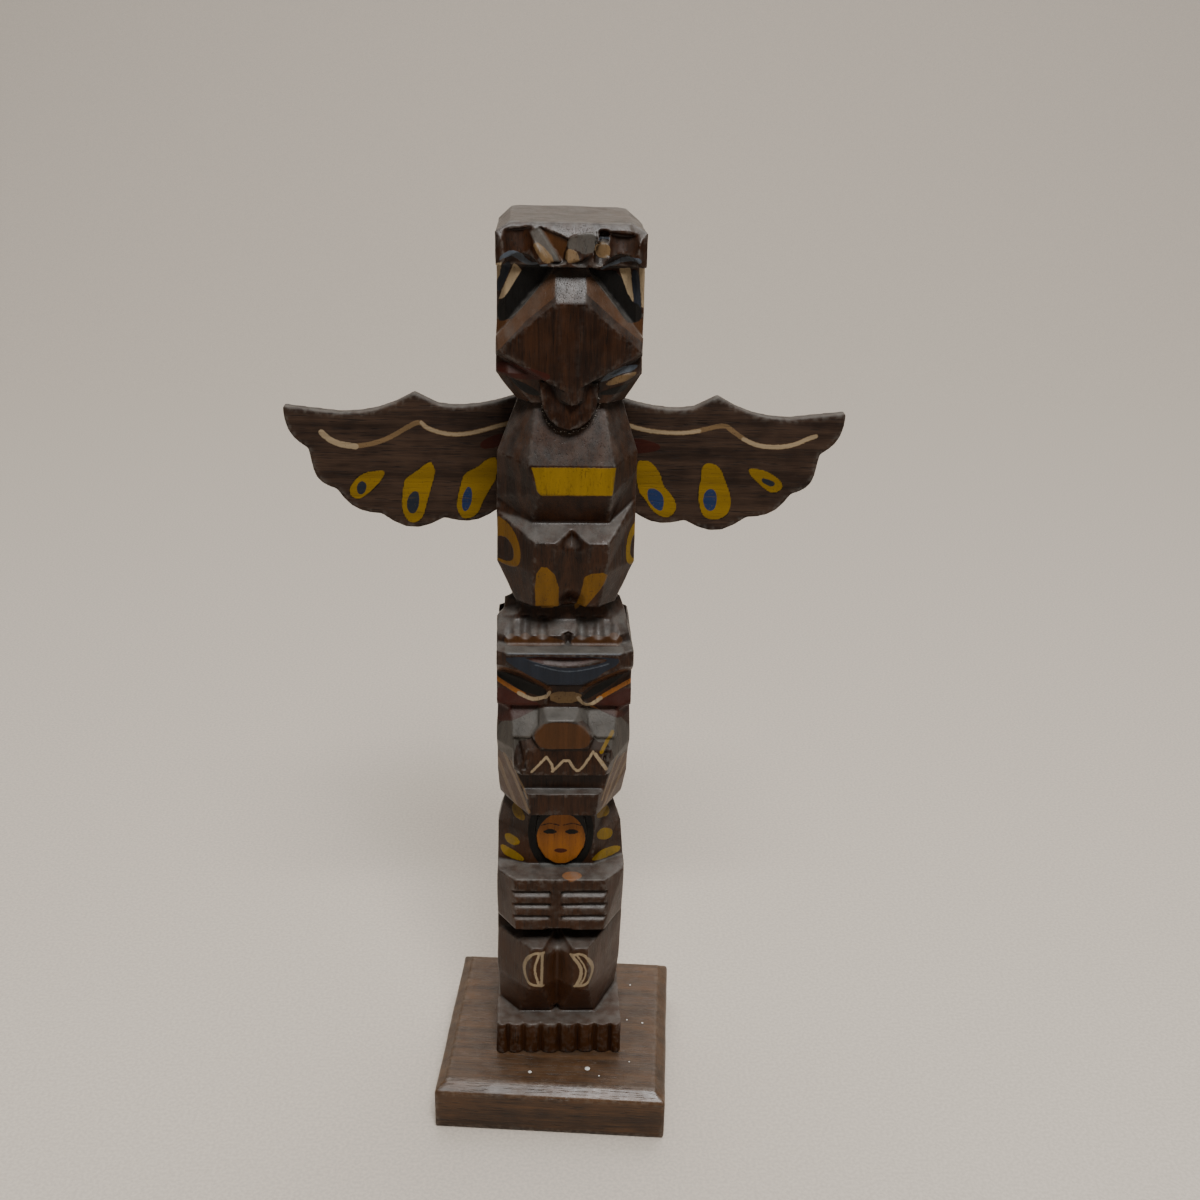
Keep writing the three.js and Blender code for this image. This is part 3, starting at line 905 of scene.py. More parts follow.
def head_marks() -> list[Mark]:
    """The painted marks on the bird's head.

    Returns:
        The marks.
    """
    p = Paint
    lid_left = ((-10.6, 148.4), (-10.1, 149.5), (-8.7, 150.0), (-7.4, 149.6), (-6.4, 148.4), (-5.3, 148.0),
                (-3.4, 148.2), (-3.4, 147.9), (-5.2, 147.5), (-6.7, 147.7), (-8.2, 148.8), (-9.5, 149.1))
    lid_right = ((4.1, 146.8), (5.1, 147.8), (6.9, 148.8), (8.6, 149.3), (10.1, 149.2), (10.3, 148.4),
                 (8.6, 148.5), (7.0, 148.2), (5.2, 147.2))
    return [
        Mark(p.MIST, lid_left, corners=1),
        Mark(p.MIST, lid_right, corners=1),
        Mark(p.BLACK, ((-7.2, 146.7), (-6.6, 147.4), (-3.2, 148.1), (-2.7, 147.2), (-4.8, 144.4),
                       (-7.5, 141.0), (-9.6, 139.2), (-10.8, 139.0), (-10.8, 141.9), (-9.8, 142.5)),
             corners=1),
        Mark(p.CREAM, ((-8.3, 147.9), (-7.2, 146.7), (-9.6, 142.7), (-10.6, 142.2), (-10.1, 143.8)),
             corners=0),
        Mark(p.SLATE, ((-9.6, 148.3), (-8.5, 147.8), (-10.2, 143.8), (-10.9, 143.1), (-10.8, 145.3))),
        Mark(p.CREAM, ((-11.2, 147.9), (-10.0, 148.4), (-10.5, 145.7), (-11.4, 144.0)), corners=0),
        Mark(p.BLACK, ((2.3, 147.1), (4.3, 146.8), (7.2, 146.9), (8.9, 142.5), (10.5, 141.8), (10.9, 139.4),
                       (8.6, 139.2), (5.8, 143.2)), corners=1),
        Mark(p.CREAM, ((7.1, 147.2), (8.8, 147.3), (9.4, 142.5), (8.9, 142.0)), corners=0),
        Mark(p.SLATE, ((8.8, 147.0), (10.1, 147.0), (10.7, 141.6), (10.4, 140.1), (9.4, 142.2))),
        Mark(p.CREAM, ((10.1, 147.3), (11.4, 146.9), (11.4, 141.0), (10.7, 141.4)), corners=0),
        Mark(p.RED, ((-11.2, 133.4), (-6.5, 132.9), (-2.0, 131.8), (-4.7, 130.4), (-11.2, 131.4))),
        Mark(p.BLACK, ((-9.1, 130.8), (-8.2, 130.9), (-4.3, 128.8), (-4.6, 127.9), (-7.2, 128.8))),
        Mark(p.MIST, ((4.6, 130.5), (5.9, 132.1), (8.0, 133.0), (10.4, 133.1), (10.2, 132.4), (7.4, 131.7),
                       (5.0, 130.4))),
        Mark(p.TAN, ((5.3, 130.1), (7.0, 131.4), (10.2, 132.2), (10.0, 131.4), (8.5, 130.6), (6.1, 129.8))),
        Mark(p.BLACK, ((4.0, 128.4), (6.1, 129.4), (9.0, 130.3), (8.8, 129.0), (6.1, 128.3))),
        # Pale grey strip and lobe on the crown: wear, with a painted sheen.
        Mark(p.HAZE, ((-6.1, 152.4), (-4.8, 153.4), (-4.2, 152.7), (-1.3, 148.4), (-2.6, 148.5),
                      (-5.4, 151.2)), corners=1),
        Mark(p.RUST, ((-4.6, 153.1), (-0.4, 151.4), (-1.0, 149.9), (-1.3, 148.6), (-1.7, 148.6)), corners=0),
        Mark(p.HAZE, ((-0.6, 151.6), (0.2, 152.2), (2.9, 152.8), (3.8, 151.9), (3.4, 150.0), (1.7, 149.5),
                      (0.9, 150.2), (-0.7, 150.3)), corners=1),
        Mark(p.TAN, ((-5.7, 151.0), (-4.6, 151.2), (-2.1, 148.5), (-3.9, 148.2), (-5.0, 149.6)), corners=1),
        Mark(p.TAN, ((-0.8, 150.4), (0.6, 150.2), (1.2, 149.2), (1.1, 148.4), (-0.9, 148.4)), corners=1),
        Mark(p.TAN, ((3.2, 150.8), (3.7, 149.1), (5.5, 149.1), (5.7, 150.6), (4.9, 151.3), (3.9, 151.3)),
             corners=1),
        # A painted highlight along the edge above the small square.
        Mark(p.MIST, ((4.0, 151.8), (5.4, 151.8)), width=0.3),
        # Pale bands on the beak's upper flanks: wear, with a painted sheen where they face up.
        Mark(p.HAZE, ((-10.8, 139.5), (-8.6, 139.8), (-3.3, 146.6)), width=0.5),
        Mark(p.HAZE, ((10.9, 140.2), (8.6, 139.6), (3.3, 146.4)), width=0.45),
        Mark(p.RUST, ((-11.0, 139.2), (-8.6, 139.6), (-3.0, 146.4), (-2.2, 146.4), (-2.3, 143.4),
                      (-6.4, 139.8), (-11.0, 134.8)), corners=0),
        Mark(p.RUST, ((11.0, 139.6), (8.6, 139.4), (3.0, 146.2), (2.2, 146.2), (2.3, 143.9), (6.4, 140.2),
                      (11.0, 136.4)), corners=0),
    ]


def chest_marks() -> list[Mark]:
    """The painted marks on the bird's chest, lower body and feet.

    Returns:
        The marks.
    """
    p, front = Paint, FRONT_HALF
    return [
        Mark(p.YELLOW, ((-5.6, 117.5), (7.4, 117.6), (6.9, 113.3), (-4.0, 113.1), (-4.7, 113.8),
                        (-5.1, 115.9)), corners=0, depth=(-12.0, -9.9)),
        Mark(p.OCHRE, ((-11.6, 108.4), (-9.0, 107.4), (-7.8, 105.6), (-7.1, 103.3), (-7.4, 100.6),
                       (-9.4, 100.2), (-11.6, 100.9)), depth=front, hollow=((-11.8, 104.4), (-9.5, 105.2),
                                                                            (-8.4, 103.7), (-8.2, 101.7),
                                                                            (-9.4, 100.9), (-11.8, 101.3))),
        Mark(p.YELLOW, ((11.6, 107.4), (10.3, 106.8), (9.5, 104.3), (9.5, 101.4), (10.2, 100.1),
                        (11.6, 100.0)), depth=front, hollow=((11.8, 105.6), (10.7, 105.3), (10.1, 103.2),
                                                             (10.4, 101.2), (11.8, 100.9))),
        Mark(p.OCHRE, ((-3.6, 102.0), (-1.2, 99.4), (-1.0, 92.4), (-4.7, 92.3), (-5.0, 99.8)), corners=1),
        Mark(p.OCHRE, ((2.9, 100.2), (6.8, 100.7), (5.8, 98.0), (3.5, 94.7), (1.8, 91.9), (1.4, 92.9),
                       (2.6, 97.8)), corners=1),
        Mark(p.RUST, ((-9.9, 87.9), (-8.6, 88.9), (-7.6, 88.3), (-6.4, 88.9), (-5.2, 88.3), (-4.0, 88.8),
                      (-2.2, 88.3), (0.1, 87.8), (-0.2, 86.9), (-9.6, 86.9)), depth=(-8.4, -6.0)),
        Mark(p.RUST, ((0.9, 87.8), (2.1, 88.7), (3.4, 88.2), (4.6, 88.8), (5.8, 88.3), (7.2, 88.9),
                      (8.5, 88.9), (9.5, 87.8), (9.0, 86.9), (1.2, 86.9)), depth=(-8.4, -6.0)),
        # Painted highlights along the brow plate's top edge: a pale band and a thin bright line.
        Mark(p.HAZE, ((-9.3, 87.05), (9.1, 87.1)), width=0.7, depth=(-12.0, -8.6)),
        Mark(p.MIST, ((-9.2, 86.75), (9.0, 86.8)), width=0.2, depth=(-12.0, -9.8)),
    ]


def bear_marks() -> list[Mark]:
    """The painted marks on the bear's head.

    Returns:
        The marks.
    """
    p, front = Paint, FRONT_HALF
    slit = ((-6.9, 86.2), (7.4, 86.1), (6.0, 85.2), (3.0, 84.5), (0.8, 84.3), (-1.4, 84.4), (-4.4, 85.1))
    return [
        Mark(p.SLATE, ((-9.4, 86.3), (8.6, 86.4), (8.7, 85.1), (6.6, 83.8), (4.9, 82.4), (3.2, 80.9),
                       (0.4, 80.5), (-2.5, 80.8), (-5.1, 82.4), (-9.4, 85.3)), corners=1, depth=(-12.0, -9.8),
             hollow=slit),
        Mark(p.RED, slit, depth=(-10.75, -8.0)),
        Mark(p.RUST, ((-11.2, 82.6), (-9.5, 83.9), (-6.2, 83.0), (-3.0, 80.4), (-2.4, 79.5)), width=0.9),
        Mark(p.RUST, ((2.8, 79.5), (5.0, 81.4), (8.7, 83.5), (11.2, 83.2)), width=0.85),
        Mark(p.BLACK, ((-11.2, 81.8), (-9.2, 82.3), (-6.2, 81.4), (-3.2, 79.6), (-2.8, 78.9), (-3.6, 78.2),
                       (-6.6, 78.8), (-8.8, 79.9), (-11.2, 81.4))),
        Mark(p.BLACK, ((3.0, 78.3), (4.3, 79.6), (6.9, 81.1), (10.6, 82.4), (7.4, 79.8), (4.4, 78.1),
                       (3.2, 77.7))),
        Mark(p.RED, ((-11.5, 80.4), (-6.9, 77.9), (-2.8, 76.6), (-6.2, 74.7), (-8.8, 73.8), (-11.5, 72.0))),
        Mark(p.RED, ((4.0, 76.4), (7.4, 78.2), (11.4, 80.2), (11.4, 73.6), (7.5, 74.7))),
        Mark(p.ORANGE, ((-11.4, 81.2), (-8.8, 79.5), (-6.6, 78.3)), width=0.75),
        Mark(p.CREAM, ((-7.4, 78.6), (-6.0, 77.9), (-4.7, 77.6), (-2.7, 78.5), (-2.4, 79.1)), width=0.62),
        Mark(p.ORANGE, ((11.4, 80.9), (7.4, 78.8), (5.6, 77.8)), width=0.7),
        Mark(p.CREAM, ((6.0, 77.9), (4.6, 76.9), (3.6, 76.7), (2.7, 77.3), (2.3, 78.1)), width=0.62),
        Mark(p.ORANGE, ((4.6, 76.2), (6.6, 75.6), (9.4, 74.9)), width=0.7),
        # A painted highlight along the lower lip of the brow slit.
        Mark(p.MIST, ((-4.8, 84.8), (-1.8, 83.9), (0.8, 83.6), (3.8, 84.1), (7.0, 85.1)), width=0.22),
        # Pale grey over the snout's upward slope and the cheeks: a painted sheen of the light from above,
        # with dust.
        Mark(p.HAZE, ((-11.2, 72.8), (-5.0, 76.3), (4.4, 76.1), (11.2, 73.4), (11.2, 66.0), (8.6, 66.8),
                      (7.6, 70.6), (5.2, 70.6), (4.2, 73.4), (2.8, 74.8), (-2.8, 74.8), (-4.6, 73.0),
                      (-5.6, 71.0), (-7.6, 70.8), (-8.4, 66.8), (-11.2, 66.6)), corners=1),
        Mark(p.RUST, ((-11.6, 66.4), (-8.6, 66.6), (-7.0, 62.0), (-5.4, 57.0), (-11.6, 57.0)), corners=1),
        Mark(p.RUST, ((11.6, 66.0), (8.8, 66.6), (7.4, 61.5), (6.2, 57.0), (11.6, 57.0)), corners=1),
        Mark(p.TAN, ((-2.4, 79.3), (3.0, 79.2), (2.5, 77.0), (-2.2, 76.9)), corners=1),
        Mark(p.RUST, ((-4.2, 74.6), (2.8, 74.6), (4.6, 71.9), (3.8, 69.7), (-3.8, 69.7), (-5.0, 71.9)),
             depth=(-12.0, -10.2)),
        Mark(p.CREAM, ((-5.2, 65.6), (-2.8, 68.3), (-1.9, 67.0), (-1.7, 65.7)), width=0.42, corners=0),
        Mark(p.CREAM, ((-1.8, 65.7), (0.6, 68.3), (2.0, 65.8), (2.9, 66.0), (4.9, 69.2)), width=0.45,
             corners=1),
        Mark(p.CREAM, ((5.2, 68.8), (7.1, 66.2)), width=0.62),
        Mark(p.YELLOW, ((8.0, 72.4), (6.2, 69.1)), width=0.6),
        Mark(p.TAN, ((-9.7, 66.6), (-8.4, 63.4), (-5.7, 58.0)), width=0.7, depth=front),
        Mark(p.TAN, ((-11.0, 64.2), (-9.3, 59.4), (-7.3, 55.8)), width=0.9, depth=front),
        Mark(p.TAN, ((-8.6, 66.4), (-7.1, 62.8), (-5.9, 60.6)), width=0.35, depth=front),
        Mark(p.TAN, ((10.2, 66.2), (8.4, 61.3), (6.7, 57.3)), width=0.45, depth=front),
        Mark(p.TAN, ((9.0, 67.3), (7.8, 63.4), (6.6, 59.6)), width=0.35, depth=front),
        Mark(p.TAN, ((10.9, 64.2), (9.4, 60.4), (7.6, 57.0)), width=0.5, depth=front),
    ]


def figure_marks() -> list[Mark]:
    """The painted marks on the seated figure.

    Returns:
        The marks.
    """
    p = Paint
    middle = -0.15  # the small face stands this far right of the axis
    face_depth, around = (-12.0, -6.3), (-7.4, -4.6)
    marks = [
        Mark(p.BLACK, oval(middle, 51.2, 5.7, 7.6), depth=around, hollow=oval(middle, 50.7, 4.2, 4.95)),
        Mark(p.ORANGE, oval(middle, 50.7, 4.3, 5.05), depth=face_depth),
    ]
    for side in (-1, 1):
        x = middle + side * 1.85
        marks += [
            Mark(p.BLACK, ((x - 1.5, 52.0), (x, 52.75), (x + 1.5, 52.0), (x, 51.5)), depth=face_depth,
                 corners=1),
            Mark(p.BLACK, ((x - 1.5, 53.3), (x, 53.75), (x + 1.5, 53.3)), width=0.2, depth=face_depth),
        ]
    marks += [
        Mark(p.RED, ((middle - 1.5, 48.4), (middle, 48.95), (middle + 1.5, 48.4), (middle, 47.8)),
             depth=face_depth),
        Mark(p.YELLOW, ((-8.8, 53.9), (-7.9, 55.6), (-6.2, 54.3), (-6.4, 53.0), (-7.8, 53.0))),
        Mark(p.YELLOW, ((-10.0, 49.3), (-8.8, 49.9), (-7.1, 49.5), (-7.3, 48.4), (-9.4, 48.1))),
        Mark(p.YELLOW, ((-10.9, 47.5), (-8.9, 47.7), (-6.3, 46.3), (-6.6, 45.4), (-9.8, 45.9))),
        Mark(p.YELLOW, ((5.9, 54.6), (7.4, 54.6), (8.5, 53.4), (8.2, 52.4), (6.1, 53.1))),
        Mark(p.YELLOW, ((6.0, 51.0), (7.1, 51.3), (8.7, 50.2), (9.1, 48.9), (8.1, 48.3), (6.2, 49.6))),
        Mark(p.YELLOW, ((5.2, 46.4), (7.2, 47.2), (10.3, 46.8), (10.5, 45.8), (7.8, 45.5), (5.6, 45.6))),
        Mark(p.ORANGE, oval(1.8, -9.8, 1.7, 1.2), view=View.TOP, depth=(44.4, 46.2)),
        Mark(p.CREAM, ((-2.9, 30.0), (-5.0, 30.1), (-6.2, 27.6), (-6.3, 25.6), (-5.4, 23.6), (-2.9, 23.2)),
             width=0.5),
        Mark(p.CREAM, ((-3.1, 30.1), (-3.2, 23.3)), width=0.5),
        Mark(p.CREAM, ((-3.7, 29.7), (-4.6, 26.8), (-3.7, 23.6)), width=0.42),
        Mark(p.CREAM, ((1.8, 29.6), (4.2, 30.0), (5.7, 27.0), (5.7, 25.2), (4.5, 23.4), (2.6, 23.2)),
             width=0.5),
        Mark(p.CREAM, ((2.0, 29.5), (3.5, 27.6), (3.8, 25.6), (2.9, 23.4)), width=0.6),
        Mark(p.CREAM, ((2.9, 29.6), (4.6, 27.0), (4.4, 25.0), (3.6, 23.6)), width=0.3),
    ]
    return marks


def pole_marks() -> tuple[Mark, ...]:
    """Every painted mark on the pole, from the crown down."""
    return tuple(head_marks() + chest_marks() + bear_marks() + figure_marks())


def wing_marks() -> tuple[Mark, ...]:
    """The painted marks on the front of the wing board.

    Returns:
        The marks.
    """
    p = Paint
    mark = partial(Mark, depth=(0.0, 9.6))  # the board's front face only
    spots = (
        (((-34.4, 109.8), (-33.0, 110.7), (-30.6, 111.0), (-29.9, 110.9), (-30.0, 109.9), (-31.4, 108.1),
          (-33.1, 106.6), (-34.3, 105.9), (-35.5, 106.3), (-35.9, 107.3), (-35.6, 108.3)),
         ((-33.7, 109.2), (-32.9, 108.6), (-33.1, 107.3), (-34.0, 106.6), (-34.6, 107.2), (-34.5, 108.6)),
         p.SLATE),
        (((-22.4, 112.8), (-21.8, 111.9), (-21.5, 110.7), (-22.3, 108.0), (-23.2, 104.7), (-23.7, 102.9),
          (-24.9, 101.9), (-26.0, 101.9), (-26.9, 103.2), (-27.3, 104.9), (-27.0, 107.9), (-26.6, 109.7),
          (-25.4, 110.4)),
         ((-25.0, 107.6), (-24.3, 107.2), (-24.3, 105.2), (-24.9, 103.6), (-25.9, 103.5), (-26.5, 104.7),
          (-26.1, 106.7)),
         p.SLATE),
        (((-11.3, 113.7), (-11.3, 110.1), (-12.6, 107.8), (-13.8, 105.6), (-14.4, 103.8), (-15.5, 102.9),
          (-17.0, 102.6), (-17.9, 103.8), (-18.2, 105.3), (-17.5, 108.5), (-16.8, 110.8), (-14.5, 111.8),
          (-13.1, 113.2)),
         ((-16.1, 108.5), (-15.5, 107.8), (-15.6, 105.6), (-16.4, 104.0), (-17.1, 104.1), (-17.3, 105.8),
          (-16.8, 107.5)),
         p.BLUE),
        (((11.6, 113.2), (13.5, 113.3), (14.6, 112.6), (15.9, 110.8), (16.3, 109.0), (17.5, 107.7),
          (18.6, 106.1), (18.7, 104.5), (17.7, 103.3), (16.2, 103.4), (14.6, 104.5), (13.5, 106.3),
          (12.0, 108.1)),
         ((13.8, 108.4), (15.0, 108.4), (16.3, 107.4), (16.6, 105.8), (16.3, 104.3), (15.1, 104.9),
          (14.1, 106.0), (13.7, 107.3)),
         p.BLUE),
        (((23.3, 112.9), (24.8, 112.8), (25.9, 111.9), (26.7, 109.9), (27.4, 108.3), (27.9, 106.5),
          (27.7, 104.3), (26.3, 103.1), (24.3, 103.0), (23.1, 103.8), (22.4, 105.9), (22.2, 108.0),
          (22.6, 110.3), (22.6, 112.2)),
         ((24.5, 108.5), (25.3, 107.8), (25.5, 106.2), (25.0, 104.6), (24.0, 104.6), (23.2, 105.6),
          (23.1, 107.2), (23.7, 108.3)),
         p.BLUE),
        (((30.4, 112.1), (32.4, 112.0), (34.3, 111.3), (35.8, 110.2), (36.5, 109.2), (36.2, 108.3),
          (34.8, 107.7), (33.4, 108.5), (31.8, 109.9), (30.7, 111.0)),
         ((32.7, 110.5), (34.0, 110.2), (35.2, 109.6), (34.8, 108.9), (33.8, 109.2), (32.9, 109.7)),
         p.SLATE),
    )
    marks = []
    for outline, core, tint in spots:
        marks.append(mark(p.YELLOW, outline, corners=1))
        marks.append(mark(tint, core))
        marks.append(mark(p.BLACK, outline + outline[:1], width=0.16, corners=1))
    left = ((-40.0, 117.3), (-38.8, 116.1), (-37.0, 115.3), (-34.5, 115.0), (-31.6, 115.5), (-29.0, 116.5),
            (-26.6, 118.0), (-24.5, 119.2), (-23.7, 119.2), (-22.9, 118.3), (-21.0, 117.6), (-18.7, 117.2),
            (-16.3, 117.4), (-14.0, 117.9), (-11.6, 118.7), (-9.0, 119.4))
    right = ((9.1, 119.6), (11.1, 118.9), (13.4, 118.3), (16.6, 118.0), (19.6, 118.0), (22.0, 118.4),
             (24.5, 119.1), (26.2, 119.4), (27.5, 118.4), (29.3, 117.1), (31.4, 116.1), (33.4, 115.8),
             (35.9, 115.8), (38.4, 116.4), (40.0, 117.3), (41.3, 117.7))
    marks += [mark(p.TAN, left, width=0.8), mark(p.TAN, right, width=0.8)]
    marks += [mark(p.CREAM, left[:4], width=1.0), mark(p.CREAM, left[8:], width=0.6),
              mark(p.CREAM, right[:6], width=0.6), mark(p.CREAM, right[9:], width=0.7)]
    marks += [mark(p.RED, ((-14.4, 116.1), (-10.0, 118.0), (-10.0, 115.6), (-13.8, 114.6))),
              mark(p.RED, ((10.0, 117.4), (15.6, 116.2), (15.6, 114.8), (10.0, 114.2)))]
    return tuple(marks)


@dataclass
class Crumbs:
    """Small blobs set at given points by a node tree: paint drops, or dried glue along an edge."""

    name: str
    slot: str
    spots: tuple[tuple[float, float, float], ...]
    sizes: tuple[float, ...]
    finish: Plain
    flat: float = 0.35  # a blob's height, as a share of its width
    scatter: float = 0.0  # how far each strays from its spot
    between: int = 1  # how many steps lie between one spot and the next

    def points(self) -> list[tuple[float, float, float]]:
        """The spots in metres, with more between them where they follow a line.

        Returns:
            One place for each blob.
        """
        spots = np.array(self.spots)
        if self.between > 1:
            place = np.linspace(0, len(spots) - 1, self.between * (len(spots) - 1) + 1)
            spots = np.stack([np.interp(place, range(len(spots)), spots[:, axis]) for axis in range(3)], 1)
        return [tuple(spot) for spot in spots * MM + pole_origin()]

    def tree(self, material: bpy.types.Material) -> bpy.types.NodeTree:
        """Builds the node tree that sets a blob at each vertex.

        Args:
            material: the blobs' finish.

        Returns:
            The tree, whose Seed input fixes the scatter.
        """
        tree = bpy.data.node_groups.new(self.name, "GeometryNodeTree")
        face = tree.interface
        face.new_socket("Geometry", in_out="INPUT", socket_type="NodeSocketGeometry")
        face.new_socket("Seed", in_out="INPUT", socket_type="NodeSocketInt")
        face.new_socket("Geometry", in_out="OUTPUT", socket_type="NodeSocketGeometry")
        add, link = tree.nodes.new, tree.links.new
        source, sink = add("NodeGroupInput"), add("NodeGroupOutput")
        spread = add("FunctionNodeRandomValue")
        spread.data_type = "FLOAT_VECTOR"
        spread.inputs["Min"].default_value = (-self.scatter * MM,) * 3
        spread.inputs["Max"].default_value = (self.scatter * MM,) * 3
        link(source.outputs["Seed"], spread.inputs["Seed"])
        moved = add("GeometryNodeSetPosition")
        link(source.outputs["Geometry"], moved.inputs["Geometry"])
        link(spread.outputs["Value"], moved.inputs["Offset"])
        blob = add("GeometryNodeMeshIcoSphere")
        blob.inputs["Radius"].default_value, blob.inputs["Subdivisions"].default_value = 1.0, 3
        size = add("GeometryNodeInputNamedAttribute")
        size.data_type = "FLOAT_VECTOR"
        size.inputs["Name"].default_value = "blob"
        put = add("GeometryNodeInstanceOnPoints")
        link(moved.outputs["Geometry"], put.inputs["Points"])
        link(blob.outputs["Mesh"], put.inputs["Instance"])
        link(size.outputs["Attribute"], put.inputs["Scale"])
        real, dressed = add("GeometryNodeRealizeInstances"), add("GeometryNodeSetMaterial")
        dressed.inputs["Material"].default_value = material
        link(put.outputs["Instances"], real.inputs["Geometry"])
        link(real.outputs["Geometry"], dressed.inputs["Geometry"])
        link(dressed.outputs["Geometry"], sink.inputs["Geometry"])
        return tree

    def build(self) -> bpy.types.Object:
        """Makes the blobs as one piece.

        Returns:
            The piece, riding on the body.
        """
        spots = self.points()
        mesh = bpy.data.meshes.new(self.name)
        mesh.from_pydata(spots, [], [])
        layer = mesh.attributes.new("blob", "FLOAT_VECTOR", "POINT")
        for index in range(len(spots)):
            size = self.sizes[index % len(self.sizes)] * MM
            layer.data[index].vector = (size, size, size * self.flat)
        piece = bpy.data.objects.new(self.name, mesh)
        bpy.context.scene.collection.objects.link(piece)
        material = self.finish.material()
        tree = self.tree(material)
        modifier = piece.modifiers.new("blobs", "NODES")
        modifier.node_group = tree
        seed = next(item for item in tree.interface.items_tree if item.name == "Seed")
        modifier[seed.identifier] = CRUMB_SEED
        bake_modifiers(piece)
        piece.data.materials.clear()
        piece.data.materials.append(material)
        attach(piece, BODY)
        return piece


# ---------------------------------------------------------------- studio


@dataclass(frozen=True)
class Panel:
    """A square soft light that faces the object: sizes in metres, power in watts."""

    name: str
    place: tuple[float, float, float]
    side: float
    power: float
    target: tuple[float, float, float] = (0.0, 0.0, 0.08)

    def build(self) -> None:
        """Adds the light."""
        data = bpy.data.lights.new(self.name, "AREA")
        data.size, data.energy = self.side, self.power
        lamp = bpy.data.objects.new(self.name, data)
        lamp.location = self.place
        towards = Vector(self.target) - Vector(self.place)
        lamp.rotation_euler = towards.to_track_quat("-Z", "Y").to_euler()
        bpy.context.scene.collection.objects.link(lamp)


@dataclass
class Studio:
    """Floor, light and camera."""

    camera_at: Point2 = (-4.393, -227.515)
    camera_height: float = 182.397
    pitch: float = 21.591  # degrees below level
    yaw: float = 2.564
    roll: float = 1.439
    lens: float = 44.648
    sensor: float = 36.0
    floor_side: float = 6000.0
    floor_back: float = 500.0
    floor_bend: float = 700.0
    floor_finish: Plain = Plain("pale_floor", (0.58, 0.51, 0.43), 0.9)
    surround: Colour = (1.0, 0.97, 0.93)
    surround_light: float = 0.07
    panels: tuple[Panel, ...] = (Panel("ceiling", (0.1, 0.6, 1.5), 1.7, 30.0),
                                 Panel("window", (0.05, -0.34, 0.62), 0.20, 4.4))

    def build(self) -> None:
        """Sets up the floor, the lights and the camera."""
        self.floor()
        self.lights()
        self.camera()

    def floor(self) -> None:
        """Lays a plain pale floor under the base, swept up far behind it so no edge shows."""
        low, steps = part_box("base")[0].z, 24
        half, back, bend = self.floor_side * MM / 2, self.floor_back * MM, self.floor_bend * MM
        rows = [(-half, low)]
        for step in range(steps + 1):
            angle = math.pi / 2 * step / steps
            rows.append((back + bend * math.sin(angle), low + bend * (1 - math.cos(angle))))
        rows.append((back + bend, low + half))
        corners = [(x, y, z) for y, z in rows for x in (-half, half)]
        faces = [(2 * i, 2 * i + 1, 2 * i + 3, 2 * i + 2) for i in range(len(rows) - 1)]
        mesh = bpy.data.meshes.new("floor")
        mesh.from_pydata(corners, [], faces)
        mesh.polygons.foreach_set("use_smooth", [True] * len(faces))
        mesh.materials.append(self.floor_finish.material())
        floor = bpy.data.objects.new("floor", mesh)
        bpy.context.scene.collection.objects.link(floor)

    def lights(self) -> None:
        """Lights the ledges and the floor from above, and the chamfers from a window in front."""
        world = bpy.data.worlds.new("surround")
        world.use_nodes = True
        shade = world.node_tree.nodes["Background"]
        shade.inputs["Color"].default_value = (*self.surround, 1.0)
        shade.inputs["Strength"].default_value = self.surround_light
        bpy.context.scene.world = world
        for panel in self.panels:
            panel.build()

    def camera(self) -> None:
        """Adds the camera, a little left of the pole and looking down at it."""
        data = bpy.data.cameras.new("camera")
        data.lens, data.sensor_width, data.clip_start = self.lens, self.sensor, 0.005
        camera = bpy.data.objects.new("camera", data)
        place = Vector((*self.camera_at, self.camera_height)) * MM
        yaw, pitch, roll = (math.radians(v) for v in (self.yaw, self.pitch, self.roll))
        camera.matrix_world = (Matrix.Translation(place)
                               @ Matrix.Rotation(-yaw, 4, "Z")
                               @ Matrix.Rotation(math.pi / 2 - pitch, 4, "X")
                               @ Matrix.Rotation(roll, 4, "Z"))
        bpy.context.scene.collection.objects.link(camera)
        bpy.context.scene.camera = camera


def base_turn() -> float:
    """How far the base is turned about Z, from the corner that stands furthest right.

    Returns:
        The turn, in radians.
    """
    corners = [v.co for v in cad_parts["base"].data.vertices if v.co.z < 1e-5]
    right = max(corners, key=lambda corner: corner.x)
    return math.atan2(right.y, right.x) % (math.pi / 2) - math.pi / 4


def base() -> Worked:
    """The square block that the pole stands on."""
    stain = Stain("base_stain", dark=(0.022, 0.0085, 0.0022), light=(0.085, 0.036, 0.011),
                  haze=(0.17, 0.135, 0.10), along=(0.05, 1.0, 1.0), turn=-base_turn(), rough=0.34,
                  gloss=0.45, dust_and_sheen=0.2)
    return Worked("base", "base_wood", stain, voxel=0.3, soften=1, waves=((8.0, 0.06), (2.5, 0.03)),
                  turned=base_turn())


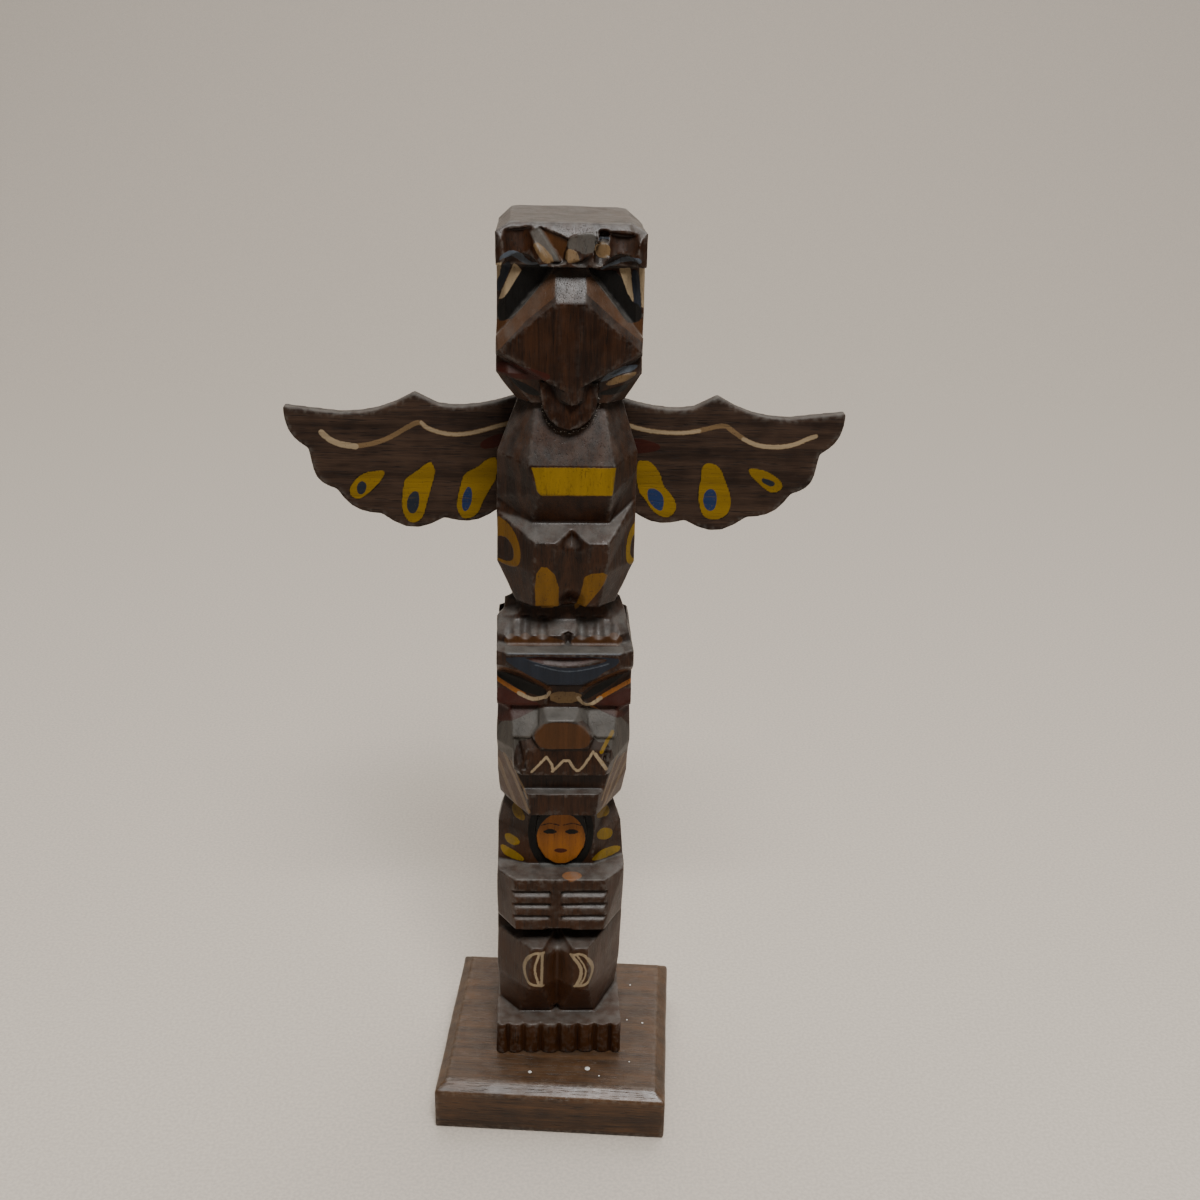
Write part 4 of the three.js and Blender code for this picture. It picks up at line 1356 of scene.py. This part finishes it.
def pole() -> Pole:
    """The carved stick, with its facets and paint."""
    stain = Stain("pole_stain", dark=(0.008, 0.0024, 0.0008), light=(0.036, 0.0125, 0.004),
                  haze=(0.16, 0.15, 0.135), along=(1.0, 1.0, 0.05), rough=0.36, gloss=0.2,
                  warm_reflection_top=70.0, paints=PAINTS)
    return Pole("pole", "pole_wood", stain, voxel=0.2, soften=1, marks=pole_marks(), facets=pole_facets())


def wings() -> Worked:
    """The thin board across the pole's back."""
    stain = Stain("wing_stain", dark=(0.014, 0.007, 0.0045), light=(0.048, 0.027, 0.017),
                  haze=(0.13, 0.12, 0.105), along=(0.05, 1.0, 1.0), rough=0.55, paints=PAINTS)
    return Worked("wings", "wing_wood", stain, voxel=0.27, waves=((6.0, 0.05),), marks=wing_marks())


def paint_drops() -> Crumbs:
    """The specks of white paint on the base."""
    top = 8.95  # just above the base's top
    spots = tuple((x, y, top) for x, y in ((-5.1, -16.1), (5.0, -15.3), (7.0, -17.2), (12.7, -1.7),
                                           (15.5, -2.6), (13.9, 8.9), (12.5, -13.5)))
    return Crumbs("paint_drops", "base_wood", spots, (0.33, 0.48, 0.16, 0.16, 0.2, 0.16, 0.14),
                  Plain("drop_white", (0.62, 0.60, 0.55), 0.45))


def dried_glue() -> Crumbs:
    """The broken line of dried glue round the tip of the beak."""
    spots = ((-4.3, -8.1, 128.2), (-4.1, -7.0, 126.1), (-3.4, -7.7, 124.1), (-1.9, -8.3, 122.8),
             (0.3, -8.5, 122.5), (2.4, -8.2, 123.2), (3.9, -7.6, 124.5), (4.8, -6.8, 126.5),
             (4.5, -8.0, 127.9))
    return Crumbs("dried_glue", "pole_wood", spots, (0.10, 0.06, 0.13, 0.05, 0.08, 0.04, 0.11),
                  Plain("glue_pale", (0.22, 0.20, 0.17), 0.7), flat=0.8, scatter=0.14, between=7)


def main() -> None:
    """Builds every piece, then the studio."""
    logging.basicConfig(level=logging.INFO, format="%(message)s")
    for part in (base(), pole(), wings(), paint_drops(), dried_glue()):
        piece = part.build()
        LOG.info("%s: %d faces", piece.name, len(piece.data.polygons))
    Studio().build()


if __name__ == "__main__":
    main()
